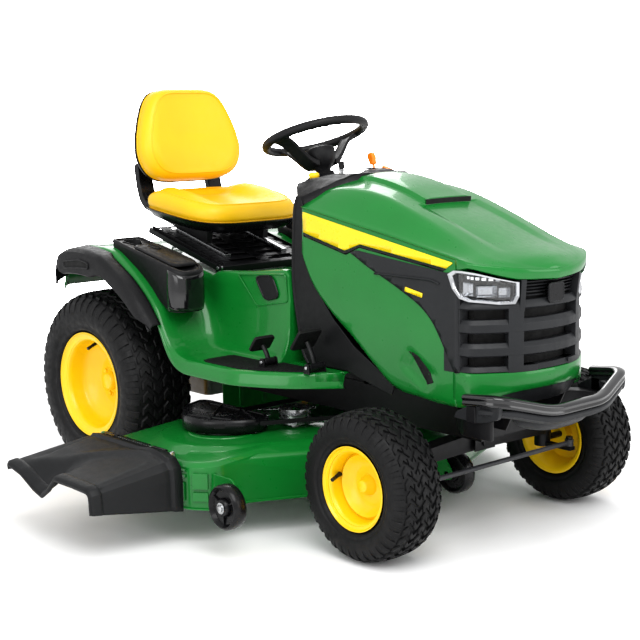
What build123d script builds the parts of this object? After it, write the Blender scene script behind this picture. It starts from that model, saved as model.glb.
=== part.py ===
from build123d import *
import os
from math import cos, radians, sin

# Riding lawn mower with a side-discharge deck of the 54 inch class.
#
# Machine frame: X forward, Y to the driver's left, Z up, with the origin on the
# ground under the rear axle, on the centre plane.  Every size below is in that
# frame, in millimetres.  write() moves each finished piece into the part frame,
# whose origin is on the ground under the middle of the machine's overall box.

# ---------------------------------------------------------------- dimensions
PART_ORIGIN = (654.5, -135.5, 0)  # the part frame's origin, in the machine frame

WHEELBASE = 1242
REAR_R, REAR_W, REAR_Y = 305, 240, 398  # 24 x 9.5 - 12 tyre and its half track
REAR_BEAD, REAR_FLANGE = 150, 173
FRONT_R, FRONT_W, FRONT_Y = 203, 165, 412  # 16 x 6.5 - 8 tyre and its half track
FRONT_BEAD, FRONT_FLANGE = 101, 115
REAR_SHAFT, STUB_R, AXLE_TUBE_R = 12.7, 9.5, 32

RAIL_Y, RAIL_Z, RAIL_TOP = 150, 300, 395  # frame rails: web, lower and upper edge
SHEET = 4
WALL = 4

KINGPIN_Y, KINGPIN_R = 300, 11
ARM = 100  # steering arm length, ahead of the kingpin
ROD_Z = 208
PIVOT_Z = 252  # front axle pivot

COLUMN_TOP = (572, 0, 1104)  # centre of the steering wheel
COLUMN_TILT = radians(19.5)
COLUMN_AXIS = (-sin(COLUMN_TILT), 0, cos(COLUMN_TILT))
WHEEL_R, GRIP_R = 157, 14

HOOD_HINGE = (1480, 455)  # x and z of the hood's hinge pins
NOSE_X, FACET_X, FACET_Y = 1534, 1510, 126
GRILLE_X, GRILLE_Z, GRILLE_TOP, LIGHT_Z = 1378, 500, 766, 688

SPINDLES = {"left": (640, 440), "centre": (845, 0), "right": (640, -440)}
DECK_R, DECK_Z, DECK_SHOULDER, DECK_TOP = 250, 100, 225, 250
TUNNEL = ((395, 872), (-700, -440))  # discharge side of the deck in plan
BLADE_R, BLADE_Z = 225, 116
SHEAVE_R, SHEAVE_Z = 66, 270  # groove radius and lower flange of the deck pulleys
CHUTE_HINGE = (-706, 247)  # y and z of the chute's hinge rod
TENSIONER, TENSIONER_R, TENSIONER_Z = (733, -240), 49, 260  # idler pulley on the deck
GAUGE_R, GAUGE_W, GAUGE_Z = 62, 42, 142
GAUGE_WHEELS = {"left": (975, 690), "right": (975, -690), "front": (1165, 0)}

BELT_Z = 376  # drive belt under the engine
CRANK = (1130, 0)
TRANSAXLE_PULLEY = (60, 0)

BODY_Y = 245  # half width of the body under the seat
FENDER_Y = 450
STEP_Z = 440  # top of the footrest
SEAT_HINGE = (335, 690)  # x and z of the seat pan's hinge
PAN_PIN_R = 6
SEAT_SLOPE = radians(15)
PAN_SIZE, PAN_SHEET = 410, 3
SLIDE_Y, SEAT_ARM_Y = 120, 135  # slide rails and the back's uprights, from the centre plane
LIFT_SHAFT = (560, 330)


# ------------------------------------------------------------------- helpers
def write(piece, name):
    """Move a finished piece into the part frame, label it and write it."""
    piece.part.move(Location((-PART_ORIGIN[0], -PART_ORIGIN[1], -PART_ORIGIN[2])))
    piece.part.label = name
    export_step(piece.part, f"parts/{name}.step")


def side_view(y):
    """Plane across the machine at y: its x is X, its y is Z, and it faces -Y."""
    return Plane.XZ.offset(-y)


def cross_section(x):
    """Plane at x: its x is Y, its y is Z, and it faces +X."""
    return Plane.YZ.offset(x)


def level(z):
    """Horizontal plane at z, facing up."""
    return Plane.XY.offset(z)


def prism(plane, points, depth, mode=Mode.ADD):
    """Extrude the polygon drawn on a plane."""
    with BuildSketch(plane) as outline:
        with BuildLine():
            Polyline(*points, close=True)
        make_face()
    extrude(outline.sketch, amount=depth, mode=mode)


def block(x, y, z, mode=Mode.ADD):
    """Box between the low and high value of each axis."""
    middle = ((x[0] + x[1]) / 2, (y[0] + y[1]) / 2, (z[0] + z[1]) / 2)
    with Locations(middle):
        Box(x[1] - x[0], y[1] - y[0], z[1] - z[0], mode=mode)


def rod(start, end, radius, mode=Mode.ADD):
    """Round bar between two points."""
    along = Vector(*end) - Vector(*start)
    with Locations(Plane(origin=start, z_dir=along).location):
        Cylinder(radius, along.length, align=(Align.CENTER, Align.CENTER, Align.MIN), mode=mode)


def hulled(plane, circles, depth, mode=Mode.ADD):
    """Extrude the convex outline round circles given as (x, y, radius)."""
    with BuildSketch(plane) as outline:
        for x, y, radius in circles:
            with Locations((x, y)):
                Circle(radius)
        make_hull()
    extrude(outline.sketch, amount=depth, mode=mode)


def turned(points, x, y, z, outward):
    """Revolve a profile of (axial, radial) points about a wheel's axis along Y."""
    with BuildSketch(cross_section(x)) as outline:
        with BuildLine():
            Polyline(*[(y + outward * a, z + r) for a, r in points], close=True)
        make_face()
    revolve(outline.sketch, axis=Axis((x, 0, z), (0, 1, 0)))


def tyre_profile(radius, width, bead):
    """Section of a turf tyre: a rubber wall round an air space open to the rim."""
    outer = [(0.8, 0), (0.8, 0.16), (0.93, 0.27), (1, 0.5), (0.98, 0.76), (0.87, 0.93), (0.62, 1)]
    inner = [(0.7, 0), (0.7, 0.16), (0.84, 0.3), (0.9, 0.5), (0.87, 0.72), (0.76, 0.84), (0.5, 0.9)]
    half, high = width / 2, radius - bead
    loop = [(a * half, bead + r * high) for a, r in outer]
    loop += [(-a, r) for a, r in reversed(loop)]
    hollow = [(-a * half, bead + r * high) for a, r in inner]
    return loop + hollow + [(-a, r) for a, r in reversed(hollow)]


def rim_profile(width, bead, flange, hub, bore):
    """Section of a pressed rim with its dished disc and hub."""
    half, drop = width / 2, bead - 0.5
    edge, lip, skin = 0.806 * half, 0.85 * half, bead - 5
    dish, seat = 0.22 * half, -0.05 * half
    return [
        (lip, flange), (edge, flange), (edge, drop), (-edge, drop), (-edge, flange),
        (-lip, flange), (-lip, skin), (dish, skin), (seat, 0.5 * bead), (seat, hub),
        (-0.35 * half, hub), (-0.35 * half, bore), (0.3 * half, bore), (0.3 * half, hub),
        (seat + 5, hub), (seat + 5, 0.5 * bead), (dish + 5, skin), (lip, skin),
    ]


def both_sides():
    """The left and the right hand, each with the sign of its Y."""
    return (("left", 1), ("right", -1))


os.makedirs("parts", exist_ok=True)

# --------------------------------------------------------------------- frame
# Two channel rails, open towards the middle, with holes for the lift shaft.
with BuildPart() as frame_rails:
    for _, s in both_sides():
        web, inner = s * (RAIL_Y + SHEET), s * (RAIL_Y - 30)
        block((-170, 1400), sorted((s * RAIL_Y, web)), (RAIL_Z, RAIL_TOP))
        for z in (RAIL_Z, RAIL_TOP - SHEET):
            block((-170, 1400), sorted((inner, web)), (z, z + SHEET))
    rod((LIFT_SHAFT[0], -200, LIFT_SHAFT[1]), (LIFT_SHAFT[0], 200, LIFT_SHAFT[1]), 10.6, Mode.SUBTRACT)
    rod((0, -200, REAR_R), (0, 200, REAR_R), AXLE_TUBE_R + 1, Mode.SUBTRACT)
write(frame_rails, "frame_rails")

# Cross plates between the rails, the axle pivot plates with their pin, the
# engine plate, the battery shelf, the hood hinge arms and the rear hitch plate.
HITCH_X, HITCH_R = -215, 9.5
SHELF_X = (848, 944)
with BuildPart() as frame_crossmembers:
    inside = (-RAIL_Y, RAIL_Y)
    for x in (-170, 430, 1396):
        block((x, x + SHEET), inside, (RAIL_Z + SHEET, BELT_Z - 14))
    for x in (1205, 1275):
        block((x, x + SHEET), inside, (RAIL_Z + SHEET, RAIL_TOP - SHEET))
        block((x, x + SHEET), (-42, 42), (PIVOT_Z - 22, RAIL_Z + SHEET))
    rod((1200, 0, PIVOT_Z), (1284, 0, PIVOT_Z), 12.5)
    block((980, 1300), (-RAIL_Y - SHEET, RAIL_Y + SHEET), (RAIL_TOP, RAIL_TOP + SHEET))
    rod((*CRANK, RAIL_TOP - 5), (*CRANK, RAIL_TOP + 10), 40, Mode.SUBTRACT)
    block(SHELF_X, (-RAIL_Y - SHEET, RAIL_Y + SHEET), (RAIL_TOP, RAIL_TOP + SHEET))
    for y in (-RAIL_Y, RAIL_Y - SHEET):
        block(SHELF_X, (y, y + SHEET), (RAIL_TOP + SHEET, 516))
    block(SHELF_X, inside, (516, 520))
    block((-250, -166), (-60, 60), (RAIL_Z - 8, RAIL_Z))
    with Locations((HITCH_X, 0, RAIL_Z - 4)):
        Cylinder(HITCH_R, 20, mode=Mode.SUBTRACT)
    for _, s in both_sides():
        arm = [(1396, 330), (1440, 330), (1494, 440), (1494, 470), (1466, 470), (1396, 392)]
        prism(side_view(s * 100 + 2.5), arm, 5)
        rod((HOOD_HINGE[0], s * 94, HOOD_HINGE[1]), (HOOD_HINGE[0], s * 124, HOOD_HINGE[1]), 8)
write(frame_crossmembers, "frame_crossmembers")

# Hydrostatic transaxle: case, axle tubes and its fan-side input pulley.
with BuildPart() as transaxle_housing:
    block((-95, 120), (-105, 105), (225, 352))
    fillet(transaxle_housing.edges().filter_by(Axis.Z), 22)
    rod((0, -262, REAR_R), (0, 262, REAR_R), AXLE_TUBE_R)
    rod((0, -270, REAR_R), (0, 270, REAR_R), REAR_SHAFT + 0.5, Mode.SUBTRACT)
    rod((*TRANSAXLE_PULLEY, 350), (*TRANSAXLE_PULLEY, 392), 12)
    rod((*TRANSAXLE_PULLEY, BELT_Z - 10), (*TRANSAXLE_PULLEY, BELT_Z - 7), 78)
    rod((*TRANSAXLE_PULLEY, BELT_Z - 10), (*TRANSAXLE_PULLEY, BELT_Z + 9), 70)
    rod((*TRANSAXLE_PULLEY, BELT_Z + 7), (*TRANSAXLE_PULLEY, BELT_Z + 10), 78)
write(transaxle_housing, "transaxle_housing")

# ------------------------------------------------------------------- engine
with BuildPart() as engine_block:
    block((1000, 1260), (-110, 110), (RAIL_TOP + SHEET, 545))
    for _, s in both_sides():
        block((1100, 1230), sorted((s * 100, s * 190)), (450, 560))
        for n in range(5):
            y = s * (112 + 16 * n)
            block((1088, 1242), sorted((y, y + s * 5)), (440, 572))
write(engine_block, "engine_block")

# Cooling shroud with the air cleaner and its cover on top.
with BuildPart() as engine_shroud:
    rod((1100, 0, 574), (1100, 0, 665), 150)
    rod((1100, 0, 572), (1100, 0, 660), 146, Mode.SUBTRACT)
    block((1010, 1190), (-95, 95), (665, 740))
    rod((1100, 0, 740), (1100, 0, 768), 78)
    rod((1100, 0, 546), (1100, 0, 573.5), 96)
write(engine_shroud, "engine_shroud")

with BuildPart() as muffler:
    rod((1335, -130, 470), (1335, 130, 470), 44)
    for _, s in both_sides():
        rod((1262, s * 60, 480), (1300, s * 60, 478), 12)
    rod((1335, -131, 470), (1335, -170, 450), 13)
write(muffler, "muffler")

with BuildPart() as battery:
    block((850, 942), (-95, 95), (520, 660))
    for y in (-70, 70):
        rod((870, y, 660), (870, y, 672), 8)
write(battery, "battery")

# Crankshaft with the drive sheave and the deck clutch pulley below it.
with BuildPart() as engine_pulley:
    rod((*CRANK, 318), (*CRANK, 398), 14)
    for low, high, radius in ((366, 369, 56), (369, 383, 48), (383, 386, 56), (322, 352, 62), (352, 360, 40)):
        rod((*CRANK, low), (*CRANK, high), radius)
write(engine_pulley, "engine_pulley")

with BuildPart() as drive_belt:
    for grow, mode in ((9, Mode.ADD), (0.6, Mode.SUBTRACT)):
        route = [(*TRANSAXLE_PULLEY, 70 + grow), (*CRANK, 48 + grow)]
        hulled(level(BELT_Z - 6), route, 12, mode)
write(drive_belt, "drive_belt")

# -------------------------------------------------------------------- wheels
for hand, s in both_sides():
    with BuildPart() as rear_tyre:
        turned(tyre_profile(REAR_R, REAR_W, REAR_BEAD), 0, s * REAR_Y, REAR_R, s)
    write(rear_tyre, f"rear_tyre_{hand}")

    # Rim with the drive axle shaft that carries it.
    with BuildPart() as rear_rim:
        profile = rim_profile(REAR_W, REAR_BEAD, REAR_FLANGE, 42, REAR_SHAFT)
        turned(profile, 0, s * REAR_Y, REAR_R, s)
        rod((0, s * 130, REAR_R), (0, s * (REAR_Y + 44), REAR_R), REAR_SHAFT)
    write(rear_rim, f"rear_rim_{hand}")

    with BuildPart() as front_tyre:
        profile = tyre_profile(FRONT_R, FRONT_W, FRONT_BEAD)
        turned(profile, WHEELBASE, s * FRONT_Y, FRONT_R, s)
    write(front_tyre, f"front_tyre_{hand}")

    with BuildPart() as front_rim:
        profile = rim_profile(FRONT_W, FRONT_BEAD, FRONT_FLANGE, 24, STUB_R + 0.06)
        turned(profile, WHEELBASE, s * FRONT_Y, FRONT_R, s)
    write(front_rim, f"front_rim_{hand}")

    # Steering knuckle: kingpin, stub axle, steering arm and its ball stud.
    with BuildPart() as knuckle:
        y = s * KINGPIN_Y
        rod((WHEELBASE, y, 184), (WHEELBASE, y, 292), KINGPIN_R)
        rod((WHEELBASE, y, 286), (WHEELBASE, y, 293), 18)
        rod((WHEELBASE, y, 184), (WHEELBASE, y, 221), 24)
        rod((WHEELBASE, y, FRONT_R), (WHEELBASE, s * (FRONT_Y + 34), FRONT_R), STUB_R)
        rod((WHEELBASE, s * (FRONT_Y + 25.4), FRONT_R), (WHEELBASE, s * (FRONT_Y + 32), FRONT_R), 16)
        block((WHEELBASE, WHEELBASE + ARM + 12), sorted((y - 12, y + 12)), (186, 196))
        rod((WHEELBASE + ARM, y, 190), (WHEELBASE + ARM, y, 226), 6)
        rod((WHEELBASE + ARM, y, 219), (WHEELBASE + ARM, y, 226), 10)
    write(knuckle, f"knuckle_{hand}")

# Pivoting front axle: an arched beam with a boss for each kingpin.
with BuildPart() as front_axle_beam:
    arch = [(-285, 224), (-285, 262), (-60, 278), (60, 278), (285, 262), (285, 224), (60, 230), (-60, 230)]
    prism(cross_section(WHEELBASE - 25), arch, 50)
    for _, s in both_sides():
        rod((WHEELBASE, s * KINGPIN_Y, 221.5), (WHEELBASE, s * KINGPIN_Y, 285.5), 26)
        rod((WHEELBASE, s * KINGPIN_Y, 210), (WHEELBASE, s * KINGPIN_Y, 300), KINGPIN_R + 0.1, Mode.SUBTRACT)
    rod((1200, 0, PIVOT_Z), (1290, 0, PIVOT_Z), 12.6, Mode.SUBTRACT)
write(front_axle_beam, "front_axle_beam")

with BuildPart() as tie_rod:
    x = WHEELBASE + ARM
    rod((x, -KINGPIN_Y + 9, ROD_Z), (x, KINGPIN_Y - 9, ROD_Z), 7)
    for _, s in both_sides():
        rod((x, s * KINGPIN_Y, 198), (x, s * KINGPIN_Y, 218), 13)
        rod((x, s * KINGPIN_Y, 190), (x, s * KINGPIN_Y, 230), 6.1, Mode.SUBTRACT)
write(tie_rod, "tie_rod")


# ------------------------------------------------------------------ steering
def on_column(distance, across=0):
    """Point on the column's axis, a distance below the steering wheel's plane."""
    x, y, z = COLUMN_TOP
    return (x - distance * COLUMN_AXIS[0], y + across, z - distance * COLUMN_AXIS[2])


with BuildPart() as steering_column:
    rod(on_column(122), on_column(640), 24)
    shroud_low = [(575, -62), (575, 62), (700, 74), (700, -74)]
    shroud_top = [(588, -38), (588, 38), (655, 38), (655, -38)]
    with BuildSketch(level(905)) as low:
        with BuildLine():
            Polyline(*shroud_low, close=True)
        make_face()
    with BuildSketch(level(985)) as top:
        with BuildLine():
            Polyline(*shroud_top, close=True)
        make_face()
    loft(sections=[low.sketch, top.sketch], ruled=True)
    rod(on_column(100), on_column(700), 10.6, Mode.SUBTRACT)
write(steering_column, "steering_column")

# Wheel with three dished spokes, and the shaft that runs down the column.
with BuildPart() as steering_wheel:
    wheel_plane = Plane(origin=COLUMN_TOP, x_dir=(cos(COLUMN_TILT), 0, sin(COLUMN_TILT)), z_dir=COLUMN_AXIS)
    with Locations(wheel_plane.location):
        Torus(WHEEL_R, GRIP_R)
    for turn in (90, 180, 270):
        c, n = cos(radians(turn)), sin(radians(turn))
        outer = wheel_plane.from_local_coords((WHEEL_R * c, WHEEL_R * n, 0))
        inner = wheel_plane.from_local_coords((20 * c, 20 * n, -88))
        along = inner - outer
        across = wheel_plane.from_local_coords((-n, c, 0)) - wheel_plane.origin
        start = Plane(origin=outer, x_dir=across, z_dir=along)
        end = Plane(origin=inner, x_dir=across, z_dir=along)
        with BuildSketch(start) as wide:
            Rectangle(46, 12)
        with BuildSketch(end) as narrow:
            Rectangle(38, 26)
        loft(sections=[wide.sketch, narrow.sketch])
    rod(on_column(70), on_column(116), 34)
    rod(on_column(110), on_column(690), 10)
write(steering_wheel, "steering_wheel")

# ---------------------------------------------------------------------- hood
# Sections of the hood: x, half width, lower edge, side edge, crease, top.
HOOD_SECTIONS = (
    (775, 240, 640, 905, 962, 988),
    (958, 242, 477, 876, 962, 987),
    (1133, 243, 430, 850, 916, 934),
    (1378, 243, 404, 803, 820, 834),
    (1436, 238, 410, 790, 799, 808),
    (FACET_X, FACET_Y, 447, 774, 776, 778),
    (NOSE_X, 50, 452, 766, 767, 768),
)
CREASE = 0.7  # the crease's distance from the middle, as a share of the half width


def hood_body(inset):
    """Outer form of the hood, or with an inset the space inside its skin."""
    faces = []
    for n, (x, half, low, edge, crease, top) in enumerate(HOOD_SECTIONS):
        half, crease_y = half - inset, CREASE * (half - inset)
        low = low - (20 if inset else 0)
        x = x - (20 if inset and n == 0 else inset if n >= 5 else 0)
        right = [(-half, low), (-half, edge - inset), (-crease_y, crease - inset)]
        points = right + [(0, top - inset)] + [(-y, z) for y, z in reversed(right)]
        with BuildSketch(cross_section(x)) as section:
            with BuildLine():
                Polyline(*points, close=True)
            make_face()
        faces.append(section.sketch.face())
    return Solid.make_loft([f.outer_wire() for f in faces], ruled=True)


hood_skin = hood_body(0) - hood_body(WALL)
LIGHT_MIDDLE, LIGHT_HIGH = (LIGHT_Z + GRILLE_TOP) / 2, GRILLE_TOP - LIGHT_Z


def light_zone(s, x, length, width, height):
    """Block on one side of the nose that bounds a headlight, its bezel or its lens."""
    return Pos(x, s * 196, LIGHT_MIDDLE) * Box(length, width, height, mode=Mode.PRIVATE)


COWL_EDGE = [(700, -260), (766, -260), (766, -236), (858, -125), (893, 0),
             (858, 125), (766, 236), (766, 260), (700, 260)]
VENT = [(1228, 524), (1240, 524), (1296, 467), (1284, 462)]
HOOD_EAR = [(1466, 441), (1500, 448), (1512, 452), (1512, 492), (1466, 470)]

with BuildPart() as hood_shell:
    add(hood_skin)
    prism(level(880), COWL_EDGE, 160, Mode.SUBTRACT)
    block((GRILLE_X, 1600), (-260, 260), (GRILLE_Z, GRILLE_TOP), Mode.SUBTRACT)
    for _, s in both_sides():
        prism(side_view(s * 242 + 20), VENT, 40, Mode.SUBTRACT)
        prism(side_view(s * 114 + 3), HOOD_EAR, 6)
    pin_line = ((HOOD_HINGE[0], -140, HOOD_HINGE[1]), (HOOD_HINGE[0], 140, HOOD_HINGE[1]))
    rod(*pin_line, 8.3, Mode.SUBTRACT)
write(hood_shell, "hood_shell")

# Grille: the lower and middle of the nose, with three rows of slots.
with BuildPart() as grille:
    add(hood_skin)
    block((GRILLE_X + 1, 1600), (-260, 260), (GRILLE_Z + 1, GRILLE_TOP - 1), Mode.INTERSECT)
    for _, s in both_sides():
        add(light_zone(s, 1440, 170, 138, LIGHT_HIGH), mode=Mode.SUBTRACT)
    for z in (530, 592, 654):
        for _, s in both_sides():
            block((1480, 1560), sorted((s * 14, s * 104)), (z - 13, z + 13), Mode.SUBTRACT)
            block((1400, 1492), sorted((s * 140, s * 260)), (z - 13, z + 13), Mode.SUBTRACT)
write(grille, "grille")

# Headlights: a bright bezel each side, and a clear lens in its window.
with BuildPart() as headlight_bezels:
    for _, s in both_sides():
        bezel = hood_skin & light_zone(s, 1465, 170, 136, LIGHT_HIGH - 3)
        add(bezel - light_zone(s, 1440, 96, 128, 46))
write(headlight_bezels, "headlight_bezels")

lens_skin = hood_body(1) - hood_body(WALL)
with BuildPart() as headlight_lenses:
    for _, s in both_sides():
        add(lens_skin & light_zone(s, 1440, 95, 127, 45))
write(headlight_lenses, "headlight_lenses")

# ---------------------------------------------------------------------- dash
COWL_PLAN = [(752, -232), (655, -125), (640, -60), (640, 60), (655, 125), (752, 232),
             (762, 232), (853, 124), (888, 0), (853, -124), (762, -232)]
COWL_SIDE = [(630, 880), (630, 938), (752, 1003), (900, 1003), (900, 880)]
COWL_SECTION = [(-232, 880), (-232, 936), (-160, 978), (-104, 1003),
                (104, 1003), (160, 978), (232, 936), (232, 880)]
PEDESTAL = [(752, 936), (733, 837), (731, 658), (770, 480), (800, STEP_Z), (955, STEP_Z),
            (1139, 398), (1150, 440), (985, 502), (812, 650), (796, 878), (766, 894), (766, 936)]
PEDESTAL_HOLLOW = [(757, 940), (738, 837), (736, 659), (775, 482), (803, STEP_Z - 10), (1200, 300),
                   (1200, 960), (757, 960)]
COWL_INSIDE = [(740, -227), (664, -121), (650, -60), (650, 60), (664, 121), (740, 227),
               (756, 227), (849, 120), (883, 0), (849, -120), (756, -227)]
with BuildPart() as cowl_space:
    prism(level(870), COWL_INSIDE, 129)
    prism(side_view(260), [(x, z - WALL) for x, z in COWL_SIDE], 520, Mode.INTERSECT)
    prism(cross_section(600), [(0.98 * y, z - WALL) for y, z in COWL_SECTION], 320, Mode.INTERSECT)

with BuildPart() as dash_console:
    prism(level(885), COWL_PLAN, 130)
    prism(side_view(260), COWL_SIDE, 520, Mode.INTERSECT)
    prism(cross_section(600), COWL_SECTION, 320, Mode.INTERSECT)
    add(cowl_space.part, mode=Mode.SUBTRACT)
    prism(side_view(232), PEDESTAL, 464)
    prism(side_view(228), PEDESTAL_HOLLOW, 456, Mode.SUBTRACT)
    block((676, 736), (122, 138), (930, 1010), Mode.SUBTRACT)
    rod((690, -112, 930), (690, -112, 1010), 5.8, Mode.SUBTRACT)
    rod((745, -50, 930), (745, -50, 1010), 8.4, Mode.SUBTRACT)
    rod(on_column(150), on_column(660), 25, Mode.SUBTRACT)
    prism(level(900), [(x + (2 if x > 600 else -2), y * 1.03) for x, y in shroud_low], 90, Mode.SUBTRACT)
write(dash_console, "dash_console")

with BuildPart() as throttle_lever:
    rod((706, 124, 960), (706, 136, 960), 9)
    prism(side_view(133), [(700, 960), (712, 960), (697, 1046), (682, 1042)], 6)
    block((680, 700), (123, 137), (1030, 1052))
write(throttle_lever, "throttle_lever")

with BuildPart() as pto_knob:
    rod((690, -112, 940), (690, -112, 985), 5)
    rod((690, -112, 981), (690, -112, 1001), 14)
write(pto_knob, "pto_knob")

with BuildPart() as ignition_key:
    rod((745, -50, 970), (745, -50, 1006), 8)
    rod((745, -50, 1003.5), (745, -50, 1008), 13)
    block((742.5, 747.5), (-62, -38), (1006, 1034))
write(ignition_key, "ignition_key")

# ------------------------------------------------------- body under the seat
# The sheet from the rear fender, over the tyre and down into the footrest.
ARCH = [(-205, 640), (-150, 735), (-60, 752), (61, 748), (150, 706), (242, 651), (320, 579),
        (362, 505), (403, 458), (460, STEP_Z - 2), (960, STEP_Z - 2)]
BODY_SIDE = [(-205, 520), (-205, 640), (-175, 735), (330, 662), (352, 664), (376, 690), (538, 699),
             (690, 716), (722, 712), (722, STEP_Z - 4), (520, 430), (300, 460)]
BODY_HOLLOW = [(-201, 400), (-201, 640), (-171, 730), (329, 657), (354, 659), (378, 685), (538, 694),
               (689, 711), (717, 707), (717, 400)]
CUP_HOLDER = (78, -352)
STEP_FRONT = [(680, 452), (792, 405), (868, 352), (925, 285), (956, 246)]  # right half, X and Y
STEP_LIP = 45


def pedal_lugs(x, y, z, half):
    """Two ears and the pin that carries a pedal on the footrest."""
    for side in (-1, 1):
        low, high = sorted((y + side * half, y + side * (half + 4)))
        block((x - 10, x + 10), (low, high), (STEP_Z - 2, z + 10))
    rod((x, y - half - 4, z), (x, y + half + 4, z), 5)


PEDALS = {"forward": (895, -300, 26), "reverse": (735, -340, 20), "brake": (895, 300, 26)}
PEDAL_Z = 458
with BuildPart() as fender_deck:
    for _, s in both_sides():
        with BuildSketch(side_view(s * BODY_Y)) as arch:
            with BuildLine() as path:
                Polyline(*ARCH)
            trace(path.line, line_width=4)
        extrude(arch.sketch, amount=-s * (FENDER_Y - BODY_Y))
        lip = ARCH[2:] + [(960, STEP_Z - STEP_LIP), (470, STEP_Z - STEP_LIP)]
        lip += [(350, 470), (325, 540), (230, 625), (140, 680), (55, 720), (-60, 726)]
        prism(side_view(s * FENDER_Y + (4 if s < 0 else 0)), lip, 4)
        front = [(x, s * y) for x, y in STEP_FRONT]
        beyond = front + [(1000, s * 246), (1000, s * 500), (680, s * 500)]
        prism(level(300), beyond, 300, Mode.SUBTRACT)
        skirt = front + [(x - WALL, s * (y - WALL)) for x, y in reversed(STEP_FRONT)]
        prism(level(STEP_Z - STEP_LIP), skirt, STEP_LIP - 2)
    prism(side_view(BODY_Y), BODY_SIDE, 2 * BODY_Y)
    prism(side_view(BODY_Y - WALL), BODY_HOLLOW, 2 * BODY_Y - 2 * WALL, Mode.SUBTRACT)
    rod((60, 340, 700), (60, 340, 800), 27, Mode.SUBTRACT)
    block((500, 668), (286, 314), (420, 460), Mode.SUBTRACT)
    block((18, 102), (238, 248), (598, 692), Mode.SUBTRACT)
    rod((*CUP_HOLDER, 700), (*CUP_HOLDER, 800), 46, Mode.SUBTRACT)
    rod(on_column(360), on_column(720), 27, Mode.SUBTRACT)
    # Ears for the seat pan's hinge pins.
    for _, s in both_sides():
        block((322, 348), sorted((s * 208, s * 212)), (655, 699))
        rod((SEAT_HINGE[0], s * 206, SEAT_HINGE[1]), (SEAT_HINGE[0], s * 214, SEAT_HINGE[1]),
            PAN_PIN_R + 0.1, Mode.SUBTRACT)
    for x, y, half in PEDALS.values():
        pedal_lugs(x, y, PEDAL_Z, half + 0.5)
write(fender_deck, "fender_deck")


def pedal(x, y, half, pad_length, lean, reach):
    """Pedal on its pivot tube: a stem that leans back, and a ribbed pad."""
    rod((x, y - half, PEDAL_Z), (x, y + half, PEDAL_Z), 10)
    top = (x - lean, y, PEDAL_Z + reach)
    stem = [(x - 7, PEDAL_Z), (x + 7, PEDAL_Z), (top[0] + 6, top[2]), (top[0] - 6, top[2])]
    prism(side_view(y + 8), stem, 16)
    tilt = Plane(origin=top, x_dir=(0, 1, 0), z_dir=(-0.8, 0, 0.6))
    with BuildSketch(tilt) as pad:
        RectangleRounded(2 * half + 36, pad_length, 10)
    extrude(pad.sketch, amount=12)
    rod((x, y - half - 1, PEDAL_Z), (x, y + half + 1, PEDAL_Z), 5.4, Mode.SUBTRACT)


for name, length, lean, reach in (("forward", 70, 38, 74), ("reverse", 52, 30, 50), ("brake", 70, 38, 74)):
    with BuildPart() as foot_pedal:
        pedal(*PEDALS[name], length, lean, reach)
    write(foot_pedal, f"{name}_pedal")

# Lift shaft across the frame, with the pedal on the left and two lift arms.
with BuildPart() as lift_pedal:
    x, z = LIFT_SHAFT
    rod((x, -170, z), (x, 312, z), 10)
    arm = [(x - 12, z), (x + 12, z), (x + 88, 500), (x + 68, 508)]
    prism(side_view(304), arm, 8)
    tilt = Plane(origin=(x + 78, 300, 504), x_dir=(0, 1, 0), z_dir=(-0.7, 0, 0.72))
    with BuildSketch(tilt) as pad:
        RectangleRounded(80, 60, 10)
    extrude(pad.sketch, amount=10)
    for y in (-112, 104):
        prism(side_view(y + 8), [(x + 14, z - 12), (x + 14, z + 12), (x - 80, z + 4), (x - 80, z - 14)], 8)
write(lift_pedal, "lift_pedal")

MAT_PLAN = [(500, 262), (500, 425), (690, 425), (790, 378), (860, 330), (905, 268), (905, 262)]
with BuildPart() as footrest_mats:
    for _, s in both_sides():
        prism(level(STEP_Z), [(x, s * y) for x, y in MAT_PLAN], 3)
    block((498, 670), (282, 318), (430, 450), Mode.SUBTRACT)
    for x, y, half in PEDALS.values():
        block((x - 60, x + 30), (y - half - 26, y + half + 26), (430, 450), Mode.SUBTRACT)
write(footrest_mats, "footrest_mats")

# Storage trays on the fenders: cup holder and lidded box on the right, and the
# filler tray on the left.
TRAY = [(12, 757), (25, 779), (368, 712), (396, 700), (410, 573), (342, 573),
        (327, 586), (246, 658), (154, 713), (62, 756)]
BOX_HOLLOW = [(142, 740), (142, 800), (360, 740), (392, 592), (338, 598), (254, 668), (165, 718)]
TRAY_WELL = [(40, 764), (40, 810), (352, 740), (374, 620), (332, 608), (252, 672), (160, 724), (110, 752)]
LID_HINGE = (368, 717.5)
with BuildPart() as storage_trays:
    for _, s in both_sides():
        prism(side_view(max(s * 285, s * 425)), TRAY, 140)
    rod((*CUP_HOLDER, 722), (*CUP_HOLDER, 760), 44.5)
    rod((*CUP_HOLDER, 726), (*CUP_HOLDER, 800), 42, Mode.SUBTRACT)
    prism(side_view(-298), BOX_HOLLOW, 114, Mode.SUBTRACT)
    rod((60, 340, 700), (60, 340, 800), 27, Mode.SUBTRACT)
    prism(side_view(412), TRAY_WELL, 24, Mode.SUBTRACT)
write(storage_trays, "storage_trays")

with BuildPart() as storage_lid:
    rise = [(135, 758.8), (135, 763.3), (366, 718.2), (366, 713.7)]
    prism(side_view(-292), rise, 126)
    rod((LID_HINGE[0], -400, LID_HINGE[1]), (LID_HINGE[0], -310, LID_HINGE[1]), 4)
    block((172, 212), (-362, -348), (720, 780), Mode.SUBTRACT)
write(storage_lid, "storage_lid")

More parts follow.
